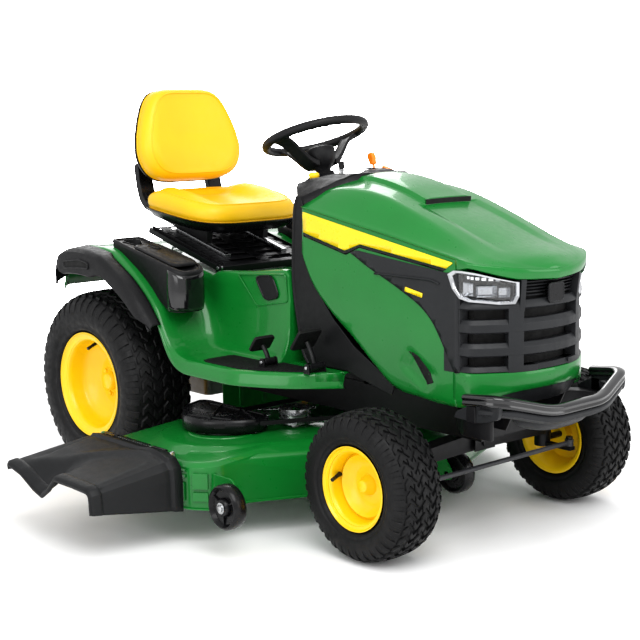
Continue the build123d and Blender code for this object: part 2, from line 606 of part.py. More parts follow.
with BuildPart() as fuel_tank:
    block((-165, 250), (-215, 215), (500, 640))
    fillet(fuel_tank.edges().filter_by(Axis.Z), 30)
    block((20, 100), (200, 240.5), (600, 638))
    block((20, 100), (236, 365), (652, 690))
    block((20, 100), (200, 240), (600, 690))
    rod((60, 340, 680), (60, 340, 790), 24)
write(fuel_tank, "fuel_tank")

with BuildPart() as fuel_cap:
    rod((60, 340, 790.5), (60, 340, 816), 36)
    with Locations((60, 340, 803)):
        with PolarLocations(36, 16):
            Cylinder(3, 25, mode=Mode.SUBTRACT)
write(fuel_cap, "fuel_cap")

# Flared black extensions beyond the fenders' outer edges.
FLARE = [(-215, 600), (-196, 668), (-140, 728), (-50, 752), (62, 746), (152, 704),
         (242, 649), (318, 577), (352, 535)]
FLARE_LOW = [(318, 527), (268, 572), (188, 622), (110, 652), (40, 666), (-50, 668), (-110, 652), (-166, 600)]
with BuildPart() as fender_extensions:
    for _, s in both_sides():
        top_y, lip_y = s * (FENDER_Y + 0.5), s * 504
        with BuildSketch(side_view(top_y)) as arch:
            with BuildLine() as path:
                Polyline(*FLARE)
            trace(path.line, line_width=5)
        extrude(arch.sketch, amount=-s * 53.5)
        prism(side_view(lip_y if s > 0 else lip_y + 5), FLARE + FLARE_LOW, 5)
write(fender_extensions, "fender_extensions")

# ---------------------------------------------------------------------- seat
seat_plane = Plane(
    origin=(SEAT_HINGE[0], 0, SEAT_HINGE[1]),
    x_dir=(-cos(SEAT_SLOPE), 0, sin(SEAT_SLOPE)),
    z_dir=(sin(SEAT_SLOPE), 0, cos(SEAT_SLOPE)),
)


def pan_line(length, height):
    """Side-view point at a length up the pan from its hinge, and a height over it."""
    x = SEAT_HINGE[0] - length * cos(SEAT_SLOPE) + height * sin(SEAT_SLOPE)
    return (x, SEAT_HINGE[1] + length * sin(SEAT_SLOPE) + height * cos(SEAT_SLOPE))


# Slotted pan that tips forward about its front edge, with the two slide rails.
with BuildPart() as seat_pan:
    with BuildSketch(seat_plane) as pan:
        with Locations((PAN_SIZE / 2, 0)):
            RectangleRounded(PAN_SIZE, PAN_SIZE, 14)
            with GridLocations(62, 104, 5, 2):
                SlotOverall(88, 14, rotation=90, mode=Mode.SUBTRACT)
            with GridLocations(62, 1, 5, 1):
                SlotOverall(60, 14, rotation=90, mode=Mode.SUBTRACT)
    extrude(pan.sketch, amount=PAN_SHEET)
    for _, s in both_sides():
        flange = [pan_line(8, 0), pan_line(PAN_SIZE - 8, 0), pan_line(PAN_SIZE - 8, -14), pan_line(8, -14)]
        prism(side_view(s * 203 + 2), flange, 4)
        rail = [pan_line(70, 2), pan_line(350, 2), pan_line(350, 16), pan_line(70, 16)]
        prism(side_view(s * SLIDE_Y + 12), rail, 24)
        rod((SEAT_HINGE[0], s * 196, SEAT_HINGE[1]), (SEAT_HINGE[0], s * 216, SEAT_HINGE[1]), PAN_PIN_R)
write(seat_pan, "seat_pan")

with BuildPart() as seat_springs:
    for y in (-110, 110):
        rod((-25, y, 718), (-25, y, 778), 20)
        rod((-25, y, 710), (-25, y, 790), 15, Mode.SUBTRACT)
write(seat_springs, "seat_springs")


def seat_outline(z, slope, length, width, corner):
    """Rounded plan of the seat on a plane that falls towards the front."""
    a = radians(slope)
    plane = Plane(origin=(60, 0, z), x_dir=(cos(a), 0, -sin(a)), z_dir=(sin(a), 0, cos(a)))
    with BuildSketch(plane) as outline:
        RectangleRounded(length, width, corner)
    return outline.sketch


# Black shell under the cushion, its feet on the slide rails and the two
# uprights that carry the back shell.
SHELL_SLOPE, RIM_SLOPE = 9.4, 6.6
with BuildPart() as seat_shell:
    loft(sections=[seat_outline(814, SHELL_SLOPE, 290, 330, 80), seat_outline(852, RIM_SLOPE, 386, 430, 120)])
    inner = [seat_outline(818, SHELL_SLOPE, 284, 324, 78), seat_outline(853, RIM_SLOPE, 378, 422, 116)]
    loft(sections=inner, mode=Mode.SUBTRACT)
    for _, s in both_sides():
        foot = [pan_line(110, 16.6), pan_line(300, 16.6), (-20, 829), (185, 795)]
        prism(side_view(s * SLIDE_Y + 11), foot, 22)
        upright = [(-82, 836), (-138, 868), (-168, 905), (-177, 960), (-185, 1010), (-165, 1012),
                   (-157, 962), (-151, 905), (-129, 874), (-79, 840)]
        prism(side_view(s * SEAT_ARM_Y + 24), upright, 48)
    back_plane = Plane(origin=(-160, 0, 960), x_dir=(0, 1, 0), z_dir=(0.985, 0, 0.171))
    with BuildSketch(back_plane) as back:
        with Locations((0, 135)):
            RectangleRounded(392, 322, 110)
    extrude(back.sketch, amount=6)
write(seat_shell, "seat_shell")

with BuildPart() as seat_cushion:
    layers = ((820, SHELL_SLOPE, 274, 314, 74), (853.5, RIM_SLOPE, 368, 412, 112),
              (868, 4, 372, 424, 118), (908, 1, 372, 424, 118), (930, 0, 330, 380, 96))
    sections = [seat_outline(*layer) for layer in layers]
    for lower, upper in zip(sections, sections[1:]):
        loft(sections=[lower, upper])
write(seat_cushion, "seat_cushion")

with BuildPart() as seat_backrest:
    depths = ((6.5, 386, 316, 108), (60, 386, 316, 108), (90, 330, 262, 84))
    sections = []
    for depth, wide, high, corner in depths:
        with BuildSketch(back_plane.offset(depth)) as back:
            with Locations((0, 135)):
                RectangleRounded(wide, high, corner)
        sections.append(back.sketch)
    for lower, upper in zip(sections, sections[1:]):
        loft(sections=[lower, upper])
write(seat_backrest, "seat_backrest")

# ------------------------------------------------------------- mowing deck
SPINDLE_LIST = list(SPINDLES.values())


def deck_body(inset):
    """Pressed deck: three blade circles joined, with a sloping shoulder."""
    with BuildPart(mode=Mode.PRIVATE) as body:
        low = DECK_Z - (5 if inset else 0)
        circles = [(x, y, DECK_R - inset) for x, y in SPINDLE_LIST]
        hulled(level(low), circles, DECK_SHOULDER - inset - low)
        faces = []
        for z, radius in ((DECK_SHOULDER - inset, DECK_R - inset), (DECK_TOP - inset, 178 - inset)):
            with BuildSketch(level(z)) as outline:
                for x, y in SPINDLE_LIST:
                    with Locations((x, y)):
                        Circle(radius)
                make_hull()
            faces.append(outline.sketch)
        loft(sections=faces)
        (x0, x1), (y0, y1) = TUNNEL
        slope = [(y0 + inset, low), (y0 + inset, 228 - inset), (y1, DECK_TOP - 2 - inset), (y1, low)]
        prism(cross_section(x0 + inset), slope, x1 - x0 - 2 * inset)
    return body.part


with BuildPart() as deck_shell:
    add(deck_body(0))
    add(deck_body(SHEET), mode=Mode.SUBTRACT)
    block((420, 740), (-710, -560), (DECK_Z - 1, 212), Mode.SUBTRACT)
    for x, y in SPINDLE_LIST:
        rod((x, y, 200), (x, y, 260), 37, Mode.SUBTRACT)
    # Hinge lugs and rod for the chute.
    hinge_y, hinge_z = CHUTE_HINGE
    for x in (402, 732):
        block((x, x + 10), (hinge_y - 6, -688), (218, hinge_z + 6))
    rod((395, hinge_y, hinge_z), (750, hinge_y, hinge_z), 5)
    # Gauge wheel brackets and bolts.
    for name, (x, y) in GAUGE_WHEELS.items():
        s = -1 if y < 0 else 1
        inner = y - s * 38
        back = x - (110 if name != "left" else 235)
        block((back, x + 16), sorted((inner, inner + s * 6)), (GAUGE_Z - 16, 206))
        rod((x, inner, GAUGE_Z), (x, y + s * 29, GAUGE_Z), 9)
        rod((x, y + s * 23, GAUGE_Z), (x, y + s * 29, GAUGE_Z), 15)
write(deck_shell, "deck_shell")

for name, (x, y) in GAUGE_WHEELS.items():
    with BuildPart() as gauge_wheel:
        half = GAUGE_W / 2
        profile = [(-half, 9.4), (-half, 24), (-half + 6, 28), (-half + 6, 48), (-half, 52), (-half, 56),
                   (-half + 7, GAUGE_R), (half - 7, GAUGE_R), (half, 56), (half, 52), (half - 6, 48),
                   (half - 6, 28), (half, 24), (half, 9.4)]
        turned(profile, x, y, GAUGE_Z, 1)
    write(gauge_wheel, f"gauge_wheel_{name}")

# Spindle housings bolted to the deck, and the tensioner pulley's post.
with BuildPart() as spindle_housings:
    for x, y in SPINDLE_LIST:
        rod((x, y, 150), (x, y, 262), 36)
        rod((x, y, DECK_TOP), (x, y, DECK_TOP + 6), 58)
        with Locations((x, y, DECK_TOP + 6)):
            with PolarLocations(48, 4):
                Cylinder(6, 5, align=(Align.CENTER, Align.CENTER, Align.MIN))
        rod((x, y, 140), (x, y, 270), 13, Mode.SUBTRACT)
    rod((*TENSIONER, DECK_TOP), (*TENSIONER, TENSIONER_Z + 46), 12)
    for z in (TENSIONER_Z, TENSIONER_Z + 14, TENSIONER_Z + 28):
        rod((*TENSIONER, z), (*TENSIONER, z + 3), TENSIONER_R)
        rod((*TENSIONER, z + 3), (*TENSIONER, z + 14), TENSIONER_R - 7)
    rod((*TENSIONER, TENSIONER_Z + 42), (*TENSIONER, TENSIONER_Z + 45), TENSIONER_R)
write(spindle_housings, "spindle_housings")

for name, (x, y) in SPINDLES.items():
    with BuildPart() as blade:
        with BuildSketch(level(BLADE_Z)) as bar:
            with Locations((x, y)):
                with PolarLocations(0, 1, start_angle=25):
                    Rectangle(2 * BLADE_R, 62)
        extrude(bar.sketch, amount=5)
        rod((x, y, BLADE_Z - 8), (x, y, SHEAVE_Z + 26), 12.5)
        rod((x, y, BLADE_Z - 8), (x, y, BLADE_Z), 18)
        rod((x, y, BLADE_Z + 5), (x, y, 149), 26)
        for low, high, radius in ((0, 2, 72), (2, 18, SHEAVE_R), (18, 20, 72)):
            rod((x, y, SHEAVE_Z + low), (x, y, SHEAVE_Z + high), radius)
    write(blade, f"blade_{name}")

with BuildPart() as deck_belt:
    for grow, mode in ((9.5, Mode.ADD), (0.5, Mode.SUBTRACT)):
        hulled(level(SHEAVE_Z + 4), [(x, y, SHEAVE_R + grow) for x, y in SPINDLE_LIST], 12, mode)
write(deck_belt, "deck_belt")

# Covers over the outer pulleys, cut away where the belt leaves them.
with BuildPart() as belt_covers:
    for _, s in both_sides():
        centre = (640, s * 440)
        for inset, low, mode in ((0, DECK_TOP + 1, Mode.ADD), (3, DECK_TOP - 2, Mode.SUBTRACT)):
            outline = [(*centre, 96 - inset), (500, s * 385, 52 - inset), (700, s * 400, 70 - inset)]
            hulled(level(low), outline, 304 - inset - low, mode)
    hulled(level(SHEAVE_Z - 4), [(x, y, SHEAVE_R + 14) for x, y in SPINDLE_LIST], 26, Mode.SUBTRACT)
write(belt_covers, "belt_covers")

# Discharge chute: a sloping roof with a skirt at each side, on two knuckles.
CHUTE_PLAN = [(404, -716), (744, -716), (800, -760), (764, -990), (560, -990), (508, -960),
              (328, -990), (400, -760)]
CHUTE_INSIDE = [(409, -700), (739, -700), (795, -760), (758, -1000), (334, -1000), (406, -760)]
CHUTE_ROOF = [(-708, 100), (-708, 252), (-990, 196), (-990, 130), (-760, 98)]
CHUTE_UNDER = [(-700, 60), (-700, 247), (-1000, 188), (-1000, 60)]
with BuildPart() as chute_space:
    prism(cross_section(300), CHUTE_UNDER, 520)
    prism(level(50), CHUTE_INSIDE, 300, Mode.INTERSECT)

with BuildPart() as discharge_chute:
    prism(cross_section(300), CHUTE_ROOF, 520)
    prism(level(50), CHUTE_PLAN, 300, Mode.INTERSECT)
    add(chute_space.part, mode=Mode.SUBTRACT)
    hinge_y, hinge_z = CHUTE_HINGE
    for x in (420, 660):
        rod((x, hinge_y, hinge_z), (x + 60, hinge_y, hinge_z), 9)
        block((x, x + 60), (-722, hinge_y - 4), (244, 252))
    rod((390, hinge_y, hinge_z), (760, hinge_y, hinge_z), 5.4, Mode.SUBTRACT)
write(discharge_chute, "discharge_chute")

# --------------------------------------------------------------------- front
BAR = [(1445, -266, 441), (1548, -270, 452), (1598, -104, 408),
       (1598, 104, 408), (1548, 270, 452), (1445, 266, 441)]
BAR_R = 16
SKID_Z, SKID_THICK = 372, 16
with BuildPart() as bumper_bar:
    with BuildLine() as route:
        FilletPolyline(*BAR, radius=34)
    with BuildSketch(Plane(origin=BAR[0], z_dir=Vector(*BAR[1]) - Vector(*BAR[0]))):
        Circle(BAR_R)
    sweep(path=route.line)
write(bumper_bar, "bumper_bar")

# Arms from the frame to the bar's ends, and the skid under the bar.
BUMPER_ARM = [(1330, 156), (1396, 156), (1440, 214), (1530, 240), (1530, 262), (1490, 278),
              (1430, 278), (1330, 176)]
with BuildPart() as bumper_bracket:
    for _, s in both_sides():
        prism(level(340), [(x, s * y) for x, y in BUMPER_ARM], 52)
        block((1450, 1482), sorted((s * 252, s * 278)), (392, 424))
    skid = [(1520, -258), (1560, -250), (1614, -112), (1614, 112), (1560, 250), (1520, 258),
            (1520, 240), (1548, 236), (1596, 100), (1596, -100), (1548, -236), (1520, -240)]
    prism(level(SKID_Z), skid, SKID_THICK)
write(bumper_bracket, "bumper_bracket")
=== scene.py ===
from bisect import bisect_right
from math import cos, hypot, pi, radians, sin

import bmesh
import bpy
from mathutils import Matrix, Vector


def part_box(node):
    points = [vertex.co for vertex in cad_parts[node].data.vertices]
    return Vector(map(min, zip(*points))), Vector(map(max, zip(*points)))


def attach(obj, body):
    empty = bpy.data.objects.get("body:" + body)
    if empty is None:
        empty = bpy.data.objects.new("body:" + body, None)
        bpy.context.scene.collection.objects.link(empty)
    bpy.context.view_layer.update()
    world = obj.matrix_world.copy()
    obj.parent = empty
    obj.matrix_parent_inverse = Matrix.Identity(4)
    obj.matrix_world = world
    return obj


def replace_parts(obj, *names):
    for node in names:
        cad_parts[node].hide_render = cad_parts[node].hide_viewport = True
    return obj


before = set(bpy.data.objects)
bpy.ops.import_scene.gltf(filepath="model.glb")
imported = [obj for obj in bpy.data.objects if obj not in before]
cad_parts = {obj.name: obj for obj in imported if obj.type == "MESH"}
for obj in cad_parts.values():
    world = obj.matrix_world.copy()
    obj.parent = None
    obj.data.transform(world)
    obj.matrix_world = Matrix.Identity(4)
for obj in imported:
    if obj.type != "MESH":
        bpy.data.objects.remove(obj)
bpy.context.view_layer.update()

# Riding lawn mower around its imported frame.  Sizes are in millimetres in the
# machine frame: X forward, Y to the left, Z up, with the origin on the ground
# under the rear axle.  spot() turns them into the row frame, in metres.
MM = 0.001
right_low, right_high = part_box("rear_tyre_right")
left_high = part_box("rear_tyre_left")[1]
AXLE = Vector(((right_low.x + right_high.x) / 2, (right_low.y + left_high.y) / 2, right_low.z))
SIDES = (("left", 1), ("right", -1))


def spot(x, y, z):
    """Point of the machine frame, in the row frame."""
    return AXLE + Vector((x, y, z)) * MM


def node_box(node):
    """Lowest and highest corner of a CAD node, in the machine frame."""
    low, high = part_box(node)
    return (low - AXLE) / MM, (high - AXLE) / MM


# ------------------------------------------------------------------ materials
MOTTLE_SCALE, SCUFF_SCALE = 9, 55


def finish(name, colour, rough, metallic=0.0, coat=0.0, grain=900, bump=0.12, mottle=0.1, scuff=0.08,
           specular=0.5, transmission=0.0, depth=0.0006):
    """Painted, moulded or metal surface: mottled colour, uneven gloss and a fine grain."""
    material = bpy.data.materials.new(name)
    material.use_nodes = True
    nodes, links = material.node_tree.nodes, material.node_tree.links
    shader = nodes["Principled BSDF"]
    shader.inputs["Metallic"].default_value = metallic
    shader.inputs["Coat Weight"].default_value = coat
    shader.inputs["Coat Roughness"].default_value = 0.06
    shader.inputs["Specular IOR Level"].default_value = specular
    shader.inputs["Transmission Weight"].default_value = transmission
    place = nodes.new("ShaderNodeTexCoord")

    def noise(scale, detail):
        node = nodes.new("ShaderNodeTexNoise")
        node.inputs["Scale"].default_value = scale
        node.inputs["Detail"].default_value = detail
        links.new(place.outputs["Object"], node.inputs["Vector"])
        return node

    tint = nodes.new("ShaderNodeValToRGB")
    low, high = tint.color_ramp.elements
    low.position, high.position = 0.3, 0.7
    low.color = (*[c * (1 - mottle) for c in colour], 1)
    high.color = (*[min(1, c * (1 + mottle)) for c in colour], 1)
    links.new(noise(MOTTLE_SCALE, 5).outputs["Fac"], tint.inputs["Fac"])
    links.new(tint.outputs["Color"], shader.inputs["Base Color"])
    gloss = nodes.new("ShaderNodeMapRange")
    gloss.inputs["From Min"].default_value = 0.3
    gloss.inputs["From Max"].default_value = 0.7
    gloss.inputs["To Min"].default_value = max(0.02, rough - scuff)
    gloss.inputs["To Max"].default_value = min(1, rough + scuff)
    links.new(noise(SCUFF_SCALE, 6).outputs["Fac"], gloss.inputs["Value"])
    links.new(gloss.outputs["Result"], shader.inputs["Roughness"])
    relief = nodes.new("ShaderNodeBump")
    relief.inputs["Strength"].default_value = bump
    relief.inputs["Distance"].default_value = depth
    links.new(noise(grain, 3).outputs["Fac"], relief.inputs["Height"])
    links.new(relief.outputs["Normal"], shader.inputs["Normal"])
    return material


GREEN = finish("green_paint", (0.005, 0.165, 0.024), 0.32, coat=0.45, bump=0.01, mottle=0.05, scuff=0.05,
               specular=0.3)
YELLOW = finish("yellow_paint", (0.88, 0.57, 0.003), 0.38, coat=0.25, bump=0.05, mottle=0.04)
STRIPE = finish("yellow_stripe", (0.86, 0.62, 0.002), 0.32, coat=0.4, bump=0.03, mottle=0.03)
TYRE = finish("tyre_rubber", (0.006, 0.006, 0.0065), 0.55, bump=0.5, grain=500, mottle=0.3, scuff=0.14,
              specular=0.28)
SOOT = finish("frame_black", (0.006, 0.006, 0.007), 0.4, bump=0.15, mottle=0.2, specular=0.3)
ALLOY = finish("cast_alloy", (0.3, 0.3, 0.31), 0.5, metallic=0.9, grain=350, bump=0.5)
CAST = finish("cast_iron", (0.045, 0.046, 0.05), 0.5, metallic=0.4, grain=300, bump=0.6)
STEEL = finish("zinc_steel", (0.52, 0.53, 0.54), 0.28, metallic=1.0, grain=700, bump=0.15)
PLASTIC = finish("black_plastic", (0.007, 0.007, 0.008), 0.46, bump=0.45, grain=1300, mottle=0.15,
                 specular=0.3)
SMOOTH = finish("smooth_black", (0.005, 0.005, 0.006), 0.3, bump=0.08, mottle=0.1, coat=0.1, specular=0.3)
GREY = finish("grey_plastic", (0.018, 0.019, 0.021), 0.42, bump=0.3, grain=1100, mottle=0.1, specular=0.3)
BLACK_GLOSS = finish("gloss_black", (0.006, 0.006, 0.007), 0.14, coat=0.6, bump=0.03, scuff=0.04)
RUBBER = finish("mat_rubber", (0.009, 0.009, 0.0095), 0.6, bump=0.4, grain=800, mottle=0.2, specular=0.25)
VINYL = finish("seat_vinyl", (0.81, 0.485, 0.002), 0.46, bump=0.35, grain=950, mottle=0.03, scuff=0.06,
               depth=0.0004)
CHROME = finish("chrome_trim", (0.52, 0.53, 0.55), 0.16, metallic=1.0, bump=0.01, mottle=0.02, scuff=0.03)
LENS = finish("clear_lens", (0.97, 0.98, 0.99), 0.05, bump=0.0, mottle=0.01, scuff=0.02, transmission=1.0)
LED = finish("led_white", (0.9, 0.92, 0.95), 0.2, bump=0.02, mottle=0.02)
ORANGE = finish("orange_plastic", (0.93, 0.24, 0.004), 0.38, bump=0.1, mottle=0.05)
KNOB = finish("knob_yellow", (0.92, 0.6, 0.01), 0.38, bump=0.1, mottle=0.05)
CHUTE_GREY = finish("chute_plastic", (0.0125, 0.013, 0.014), 0.46, bump=0.3, grain=1200, mottle=0.06,
                    specular=0.25, scuff=0.04)
# Painted shade: this near-black, matt finish stands in for the shade inside openings, slots, pockets and
# grooves.
PAINTED_SHADE = finish("painted_shade_black", (0.004, 0.004, 0.004), 0.8, bump=0.1, mottle=0.1)
FLOOR = finish("floor", (0.93, 0.93, 0.93), 0.7, bump=0.02, mottle=0.01, grain=60, specular=0.1)


# -------------------------------------------------------------------- helpers
def piece(name, vertices, faces, body, slot, material, bevel=0.0, angle=32, levels=0, segments=2):
    """New mesh from machine-frame points, riding on a body."""
    mesh = bpy.data.meshes.new(name)
    mesh.from_pydata([spot(*v) for v in vertices], [], faces)
    shape = bmesh.new()
    shape.from_mesh(mesh)
    bmesh.ops.remove_doubles(shape, verts=shape.verts, dist=0.00005)
    bmesh.ops.recalc_face_normals(shape, faces=shape.faces)
    shape.to_mesh(mesh)
    shape.free()
    mesh.shade_smooth()
    mesh.set_sharp_from_angle(angle=radians(angle))
    mesh.materials.append(material)
    obj = bpy.data.objects.new(name, mesh)
    bpy.context.scene.collection.objects.link(obj)
    if bevel:
        edge = obj.modifiers.new("edges", "BEVEL")
        edge.width, edge.segments = bevel * MM, segments
        edge.limit_method, edge.angle_limit = "ANGLE", radians(angle)
        edge.harden_normals = True
    if levels:
        smooth = obj.modifiers.new("smooth", "SUBSURF")
        smooth.levels = smooth.render_levels = levels
    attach(obj, body)
    return obj


def sheet_faces(rows, columns, wrap_rows=False, wrap_columns=False):
    """Quads of a grid whose points are stored row by row."""
    faces = []
    for r in range(rows if wrap_rows else rows - 1):
        for c in range(columns if wrap_columns else columns - 1):
            r1, c1 = (r + 1) % rows, (c + 1) % columns
            faces.append((r * columns + c, r * columns + c1, r1 * columns + c1, r1 * columns + c))
    return faces


def grid(name, rows, body, slot, material, wrap_rows=False, wrap_columns=False, caps=False, **more):
    """Surface through rows of points; caps closes the first and the last row."""
    columns = len(rows[0])
    faces = sheet_faces(len(rows), columns, wrap_rows, wrap_columns)
    if caps:
        faces.append(tuple(range(columns)))
        faces.append(tuple((len(rows) - 1) * columns + c for c in range(columns)))
    return piece(name, [p for row in rows for p in row], faces, body, slot, material, **more)


def thick(obj, amount, offset=-1.0):
    """Give an open sheet its wall thickness."""
    wall = obj.modifiers.new("wall", "SOLIDIFY")
    wall.thickness, wall.offset = amount * MM, offset
    return obj


def slab(name, outline, place, low, high, body, slot, material, **more):
    """Flat outline extruded between two depths; place(u, v, depth) gives each point."""
    rows = [[place(u, v, d) for u, v in outline] for d in (low, high)]
    return grid(name, rows, body, slot, material, wrap_columns=True, caps=True, **more)


def rounded(points, radius, steps=5):
    """Closed outline with each corner rounded; radius may be a list, one per corner."""
    result = []
    count = len(points)
    radii = radius if isinstance(radius, (list, tuple)) else [radius] * count
    for i, (x, y) in enumerate(points):
        ax, ay = points[i - 1]
        bx, by = points[(i + 1) % count]
        da, db = hypot(ax - x, ay - y), hypot(bx - x, by - y)
        reach = min(radii[i], 0.48 * da, 0.48 * db)
        if reach < 0.01:
            result.append((x, y))
            continue
        sx, sy = x + (ax - x) / da * reach, y + (ay - y) / da * reach
        ex, ey = x + (bx - x) / db * reach, y + (by - y) / db * reach
        for k in range(steps + 1):
            t = k / steps
            u, v, w = (1 - t) ** 2, 2 * t * (1 - t), t * t
            result.append((u * sx + v * x + w * ex, u * sy + v * y + w * ey))
    return result


def rectangle(width, height, corner, x=0.0, y=0.0, steps=5):
    """Rounded rectangle about a centre."""
    a, b = width / 2, height / 2
    return rounded([(x - a, y - b), (x + a, y - b), (x + a, y + b), (x - a, y + b)], corner, steps)


def flat(z=0.0):
    """Place an outline drawn in X and Y; depth goes up from z."""
    return lambda u, v, d: (u, v, z + d)


def upright(y=0.0, sign=1):
    """Place an outline drawn in X and Z; depth goes outward along Y."""
    return lambda u, v, d: (u, y + sign * d, v)


def box(name, x, y, z, body, slot, material, bevel=1.5, **more):
    """Block between the low and high value of each axis, with eased edges."""
    outline = [(x[0], y[0]), (x[1], y[0]), (x[1], y[1]), (x[0], y[1])]
    return slab(name, outline, flat(), z[0], z[1], body, slot, material, bevel=bevel, **more)


def frame_along(points, closed=False):
    """Tangent and two normals at each point of a path."""
    result, normal = [], None
    count = len(points)
    for i, point in enumerate(points):
        before = points[i - 1] if closed or i else point
        after = points[(i + 1) % count] if closed or i < count - 1 else point
        tangent = (after - before).normalized()
        if normal is None:
            guess = Vector((0, 0, 1)) if abs(tangent.z) < 0.9 else Vector((1, 0, 0))
            normal = tangent.cross(guess).normalized()
        normal = (normal - tangent * normal.dot(tangent)).normalized()
        result.append((tangent, normal, tangent.cross(normal)))
    return result


def smooth_path(points, steps):
    """Open curve through the points."""
    points = [Vector(p) for p in points]
    result = []
    for p0, p1, p2, p3 in zip(points[:1] + points, points, points[1:], points[2:] + points[-1:]):
        for k in range(steps):
            t = k / steps
            result.append(0.5 * ((2 * p1) + (p2 - p0) * t + (2 * p0 - 5 * p1 + 4 * p2 - p3) * t * t
                                 + (3 * p1 - p0 - 3 * p2 + p3) * t ** 3))
    return result + [points[-1]]


def tube(name, points, radius, body, slot, material, sides=12, closed=False, flatten=1.0, **more):
    """Round bar along a path; radius may change along it as a function of 0 to 1."""
    points = [Vector(p) for p in points]
    rows = []
    for i, (point, (_, a, b)) in enumerate(zip(points, frame_along(points, closed))):
        r = radius(i / (len(points) - 1)) if callable(radius) else radius
        rows.append([tuple(point + a * (r * cos(turn)) + b * (r * flatten * sin(turn)))
                     for turn in turns(sides)])
    return grid(name, rows, body, slot, material, wrap_rows=closed, wrap_columns=True,
                caps=not closed, **more)


def lathe(name, profile, centre, body, slot, material, axis="y", sign=1, steps=48, closed=False, **more):
    """Turn a profile of (axial, radial) points about an axis through a centre."""
    cx, cy, cz = centre
    rows = []
    for turn in turns(steps):
        c, s = cos(turn), sin(turn)
        if axis == "y":
            rows.append([(cx + r * s, cy + sign * a, cz + r * c) for a, r in profile])
        elif axis == "z":
            rows.append([(cx + r * c, cy + r * s, cz + sign * a) for a, r in profile])
        else:
            rows.append([(cx + sign * a, cy + r * s, cz + r * c) for a, r in profile])
    return grid(name, rows, body, slot, material, wrap_rows=True, wrap_columns=closed, **more)


def join(name, parts):
    """Join pieces on one body into one, with their modifiers applied."""
    graph = bpy.context.evaluated_depsgraph_get()
    shape = bmesh.new()
    slots = []
    for part in parts:
        part_mesh = bpy.data.meshes.new_from_object(part.evaluated_get(graph))
        material = part.data.materials[0]
        if material not in slots:
            slots.append(material)
        for polygon in part_mesh.polygons:
            polygon.material_index = slots.index(material)
        shape.from_mesh(part_mesh)
        bpy.data.meshes.remove(part_mesh)
    keep, rest = parts[0], parts[1:]
    keep.modifiers.clear()
    keep.data.materials.clear()
    for material in slots:
        keep.data.materials.append(material)
    shape.to_mesh(keep.data)
    shape.free()
    for part in rest:
        bpy.data.objects.remove(part)
    keep.name = name
    return keep


def curve(table, x):
    """Smooth value at x from rows of (x, value)."""
    xs = [row[0] for row in table]
    i = min(max(bisect_right(xs, x) - 1, 0), len(xs) - 2)
    t = min(max((x - xs[i]) / (xs[i + 1] - xs[i]), 0), 1)

    def slope(k):
        low, high = max(k - 1, 0), min(k + 1, len(xs) - 1)
        return (table[high][1] - table[low][1]) / (xs[high] - xs[low])

    width = xs[i + 1] - xs[i]
    h = t * t * (3 - 2 * t)
    start, end = t * (1 - t) ** 2 * width, t * t * (t - 1) * width
    return (1 - h) * table[i][1] + h * table[i + 1][1] + start * slope(i) + end * slope(i + 1)


def steady(x, low, high):
    """Smooth step from 0 at low to 1 at high."""
    t = min(max((x - low) / (high - low), 0), 1)
    return t * t * (3 - 2 * t)


def span(low, high, count):
    """Evenly spaced values, both ends included."""
    return [low + (high - low) * k / (count - 1) for k in range(count)]


def turns(count):
    """Angles of a full turn in equal steps."""
    return [2 * pi * k / count for k in range(count)]


def superellipse(count, power_u, power_v):
    """Points of a rounded square whose half side is 1."""
    points = []
    for turn in turns(count):
        c, s = cos(turn), sin(turn)
        points.append((abs(c) ** (2 / power_u) * (1 if c > 0 else -1),
                       abs(s) ** (2 / power_v) * (1 if s > 0 else -1)))
    return points


# --------------------------------------------------------- stage, camera, light
FLOOR_HALF, FADE = 9000, 7  # half width of the floor, and where it has faded out, in metres
EYE, AIM = (3739, -2811.2, 1193.6), (650, 0, 500)
YAW, PITCH, ROLL = radians(138.31), radians(8.99), radians(-0.78)
SENSOR, FOCAL = 36, 75.7
# Name, place, size in metres and power of each lamp.
LAMPS = (("key", (3600, -1500, 4200), 3.2, 130), ("fill", (1500, -5200, 2400), 3.5, 75),
         ("rim", (-3200, 2600, 3600), 3.0, 90), ("front", (5200, 2200, 1800), 2.6, 45))
GLOW, SURROUND = 0.85, 9  # strength of the world as a light, and as the camera sees it


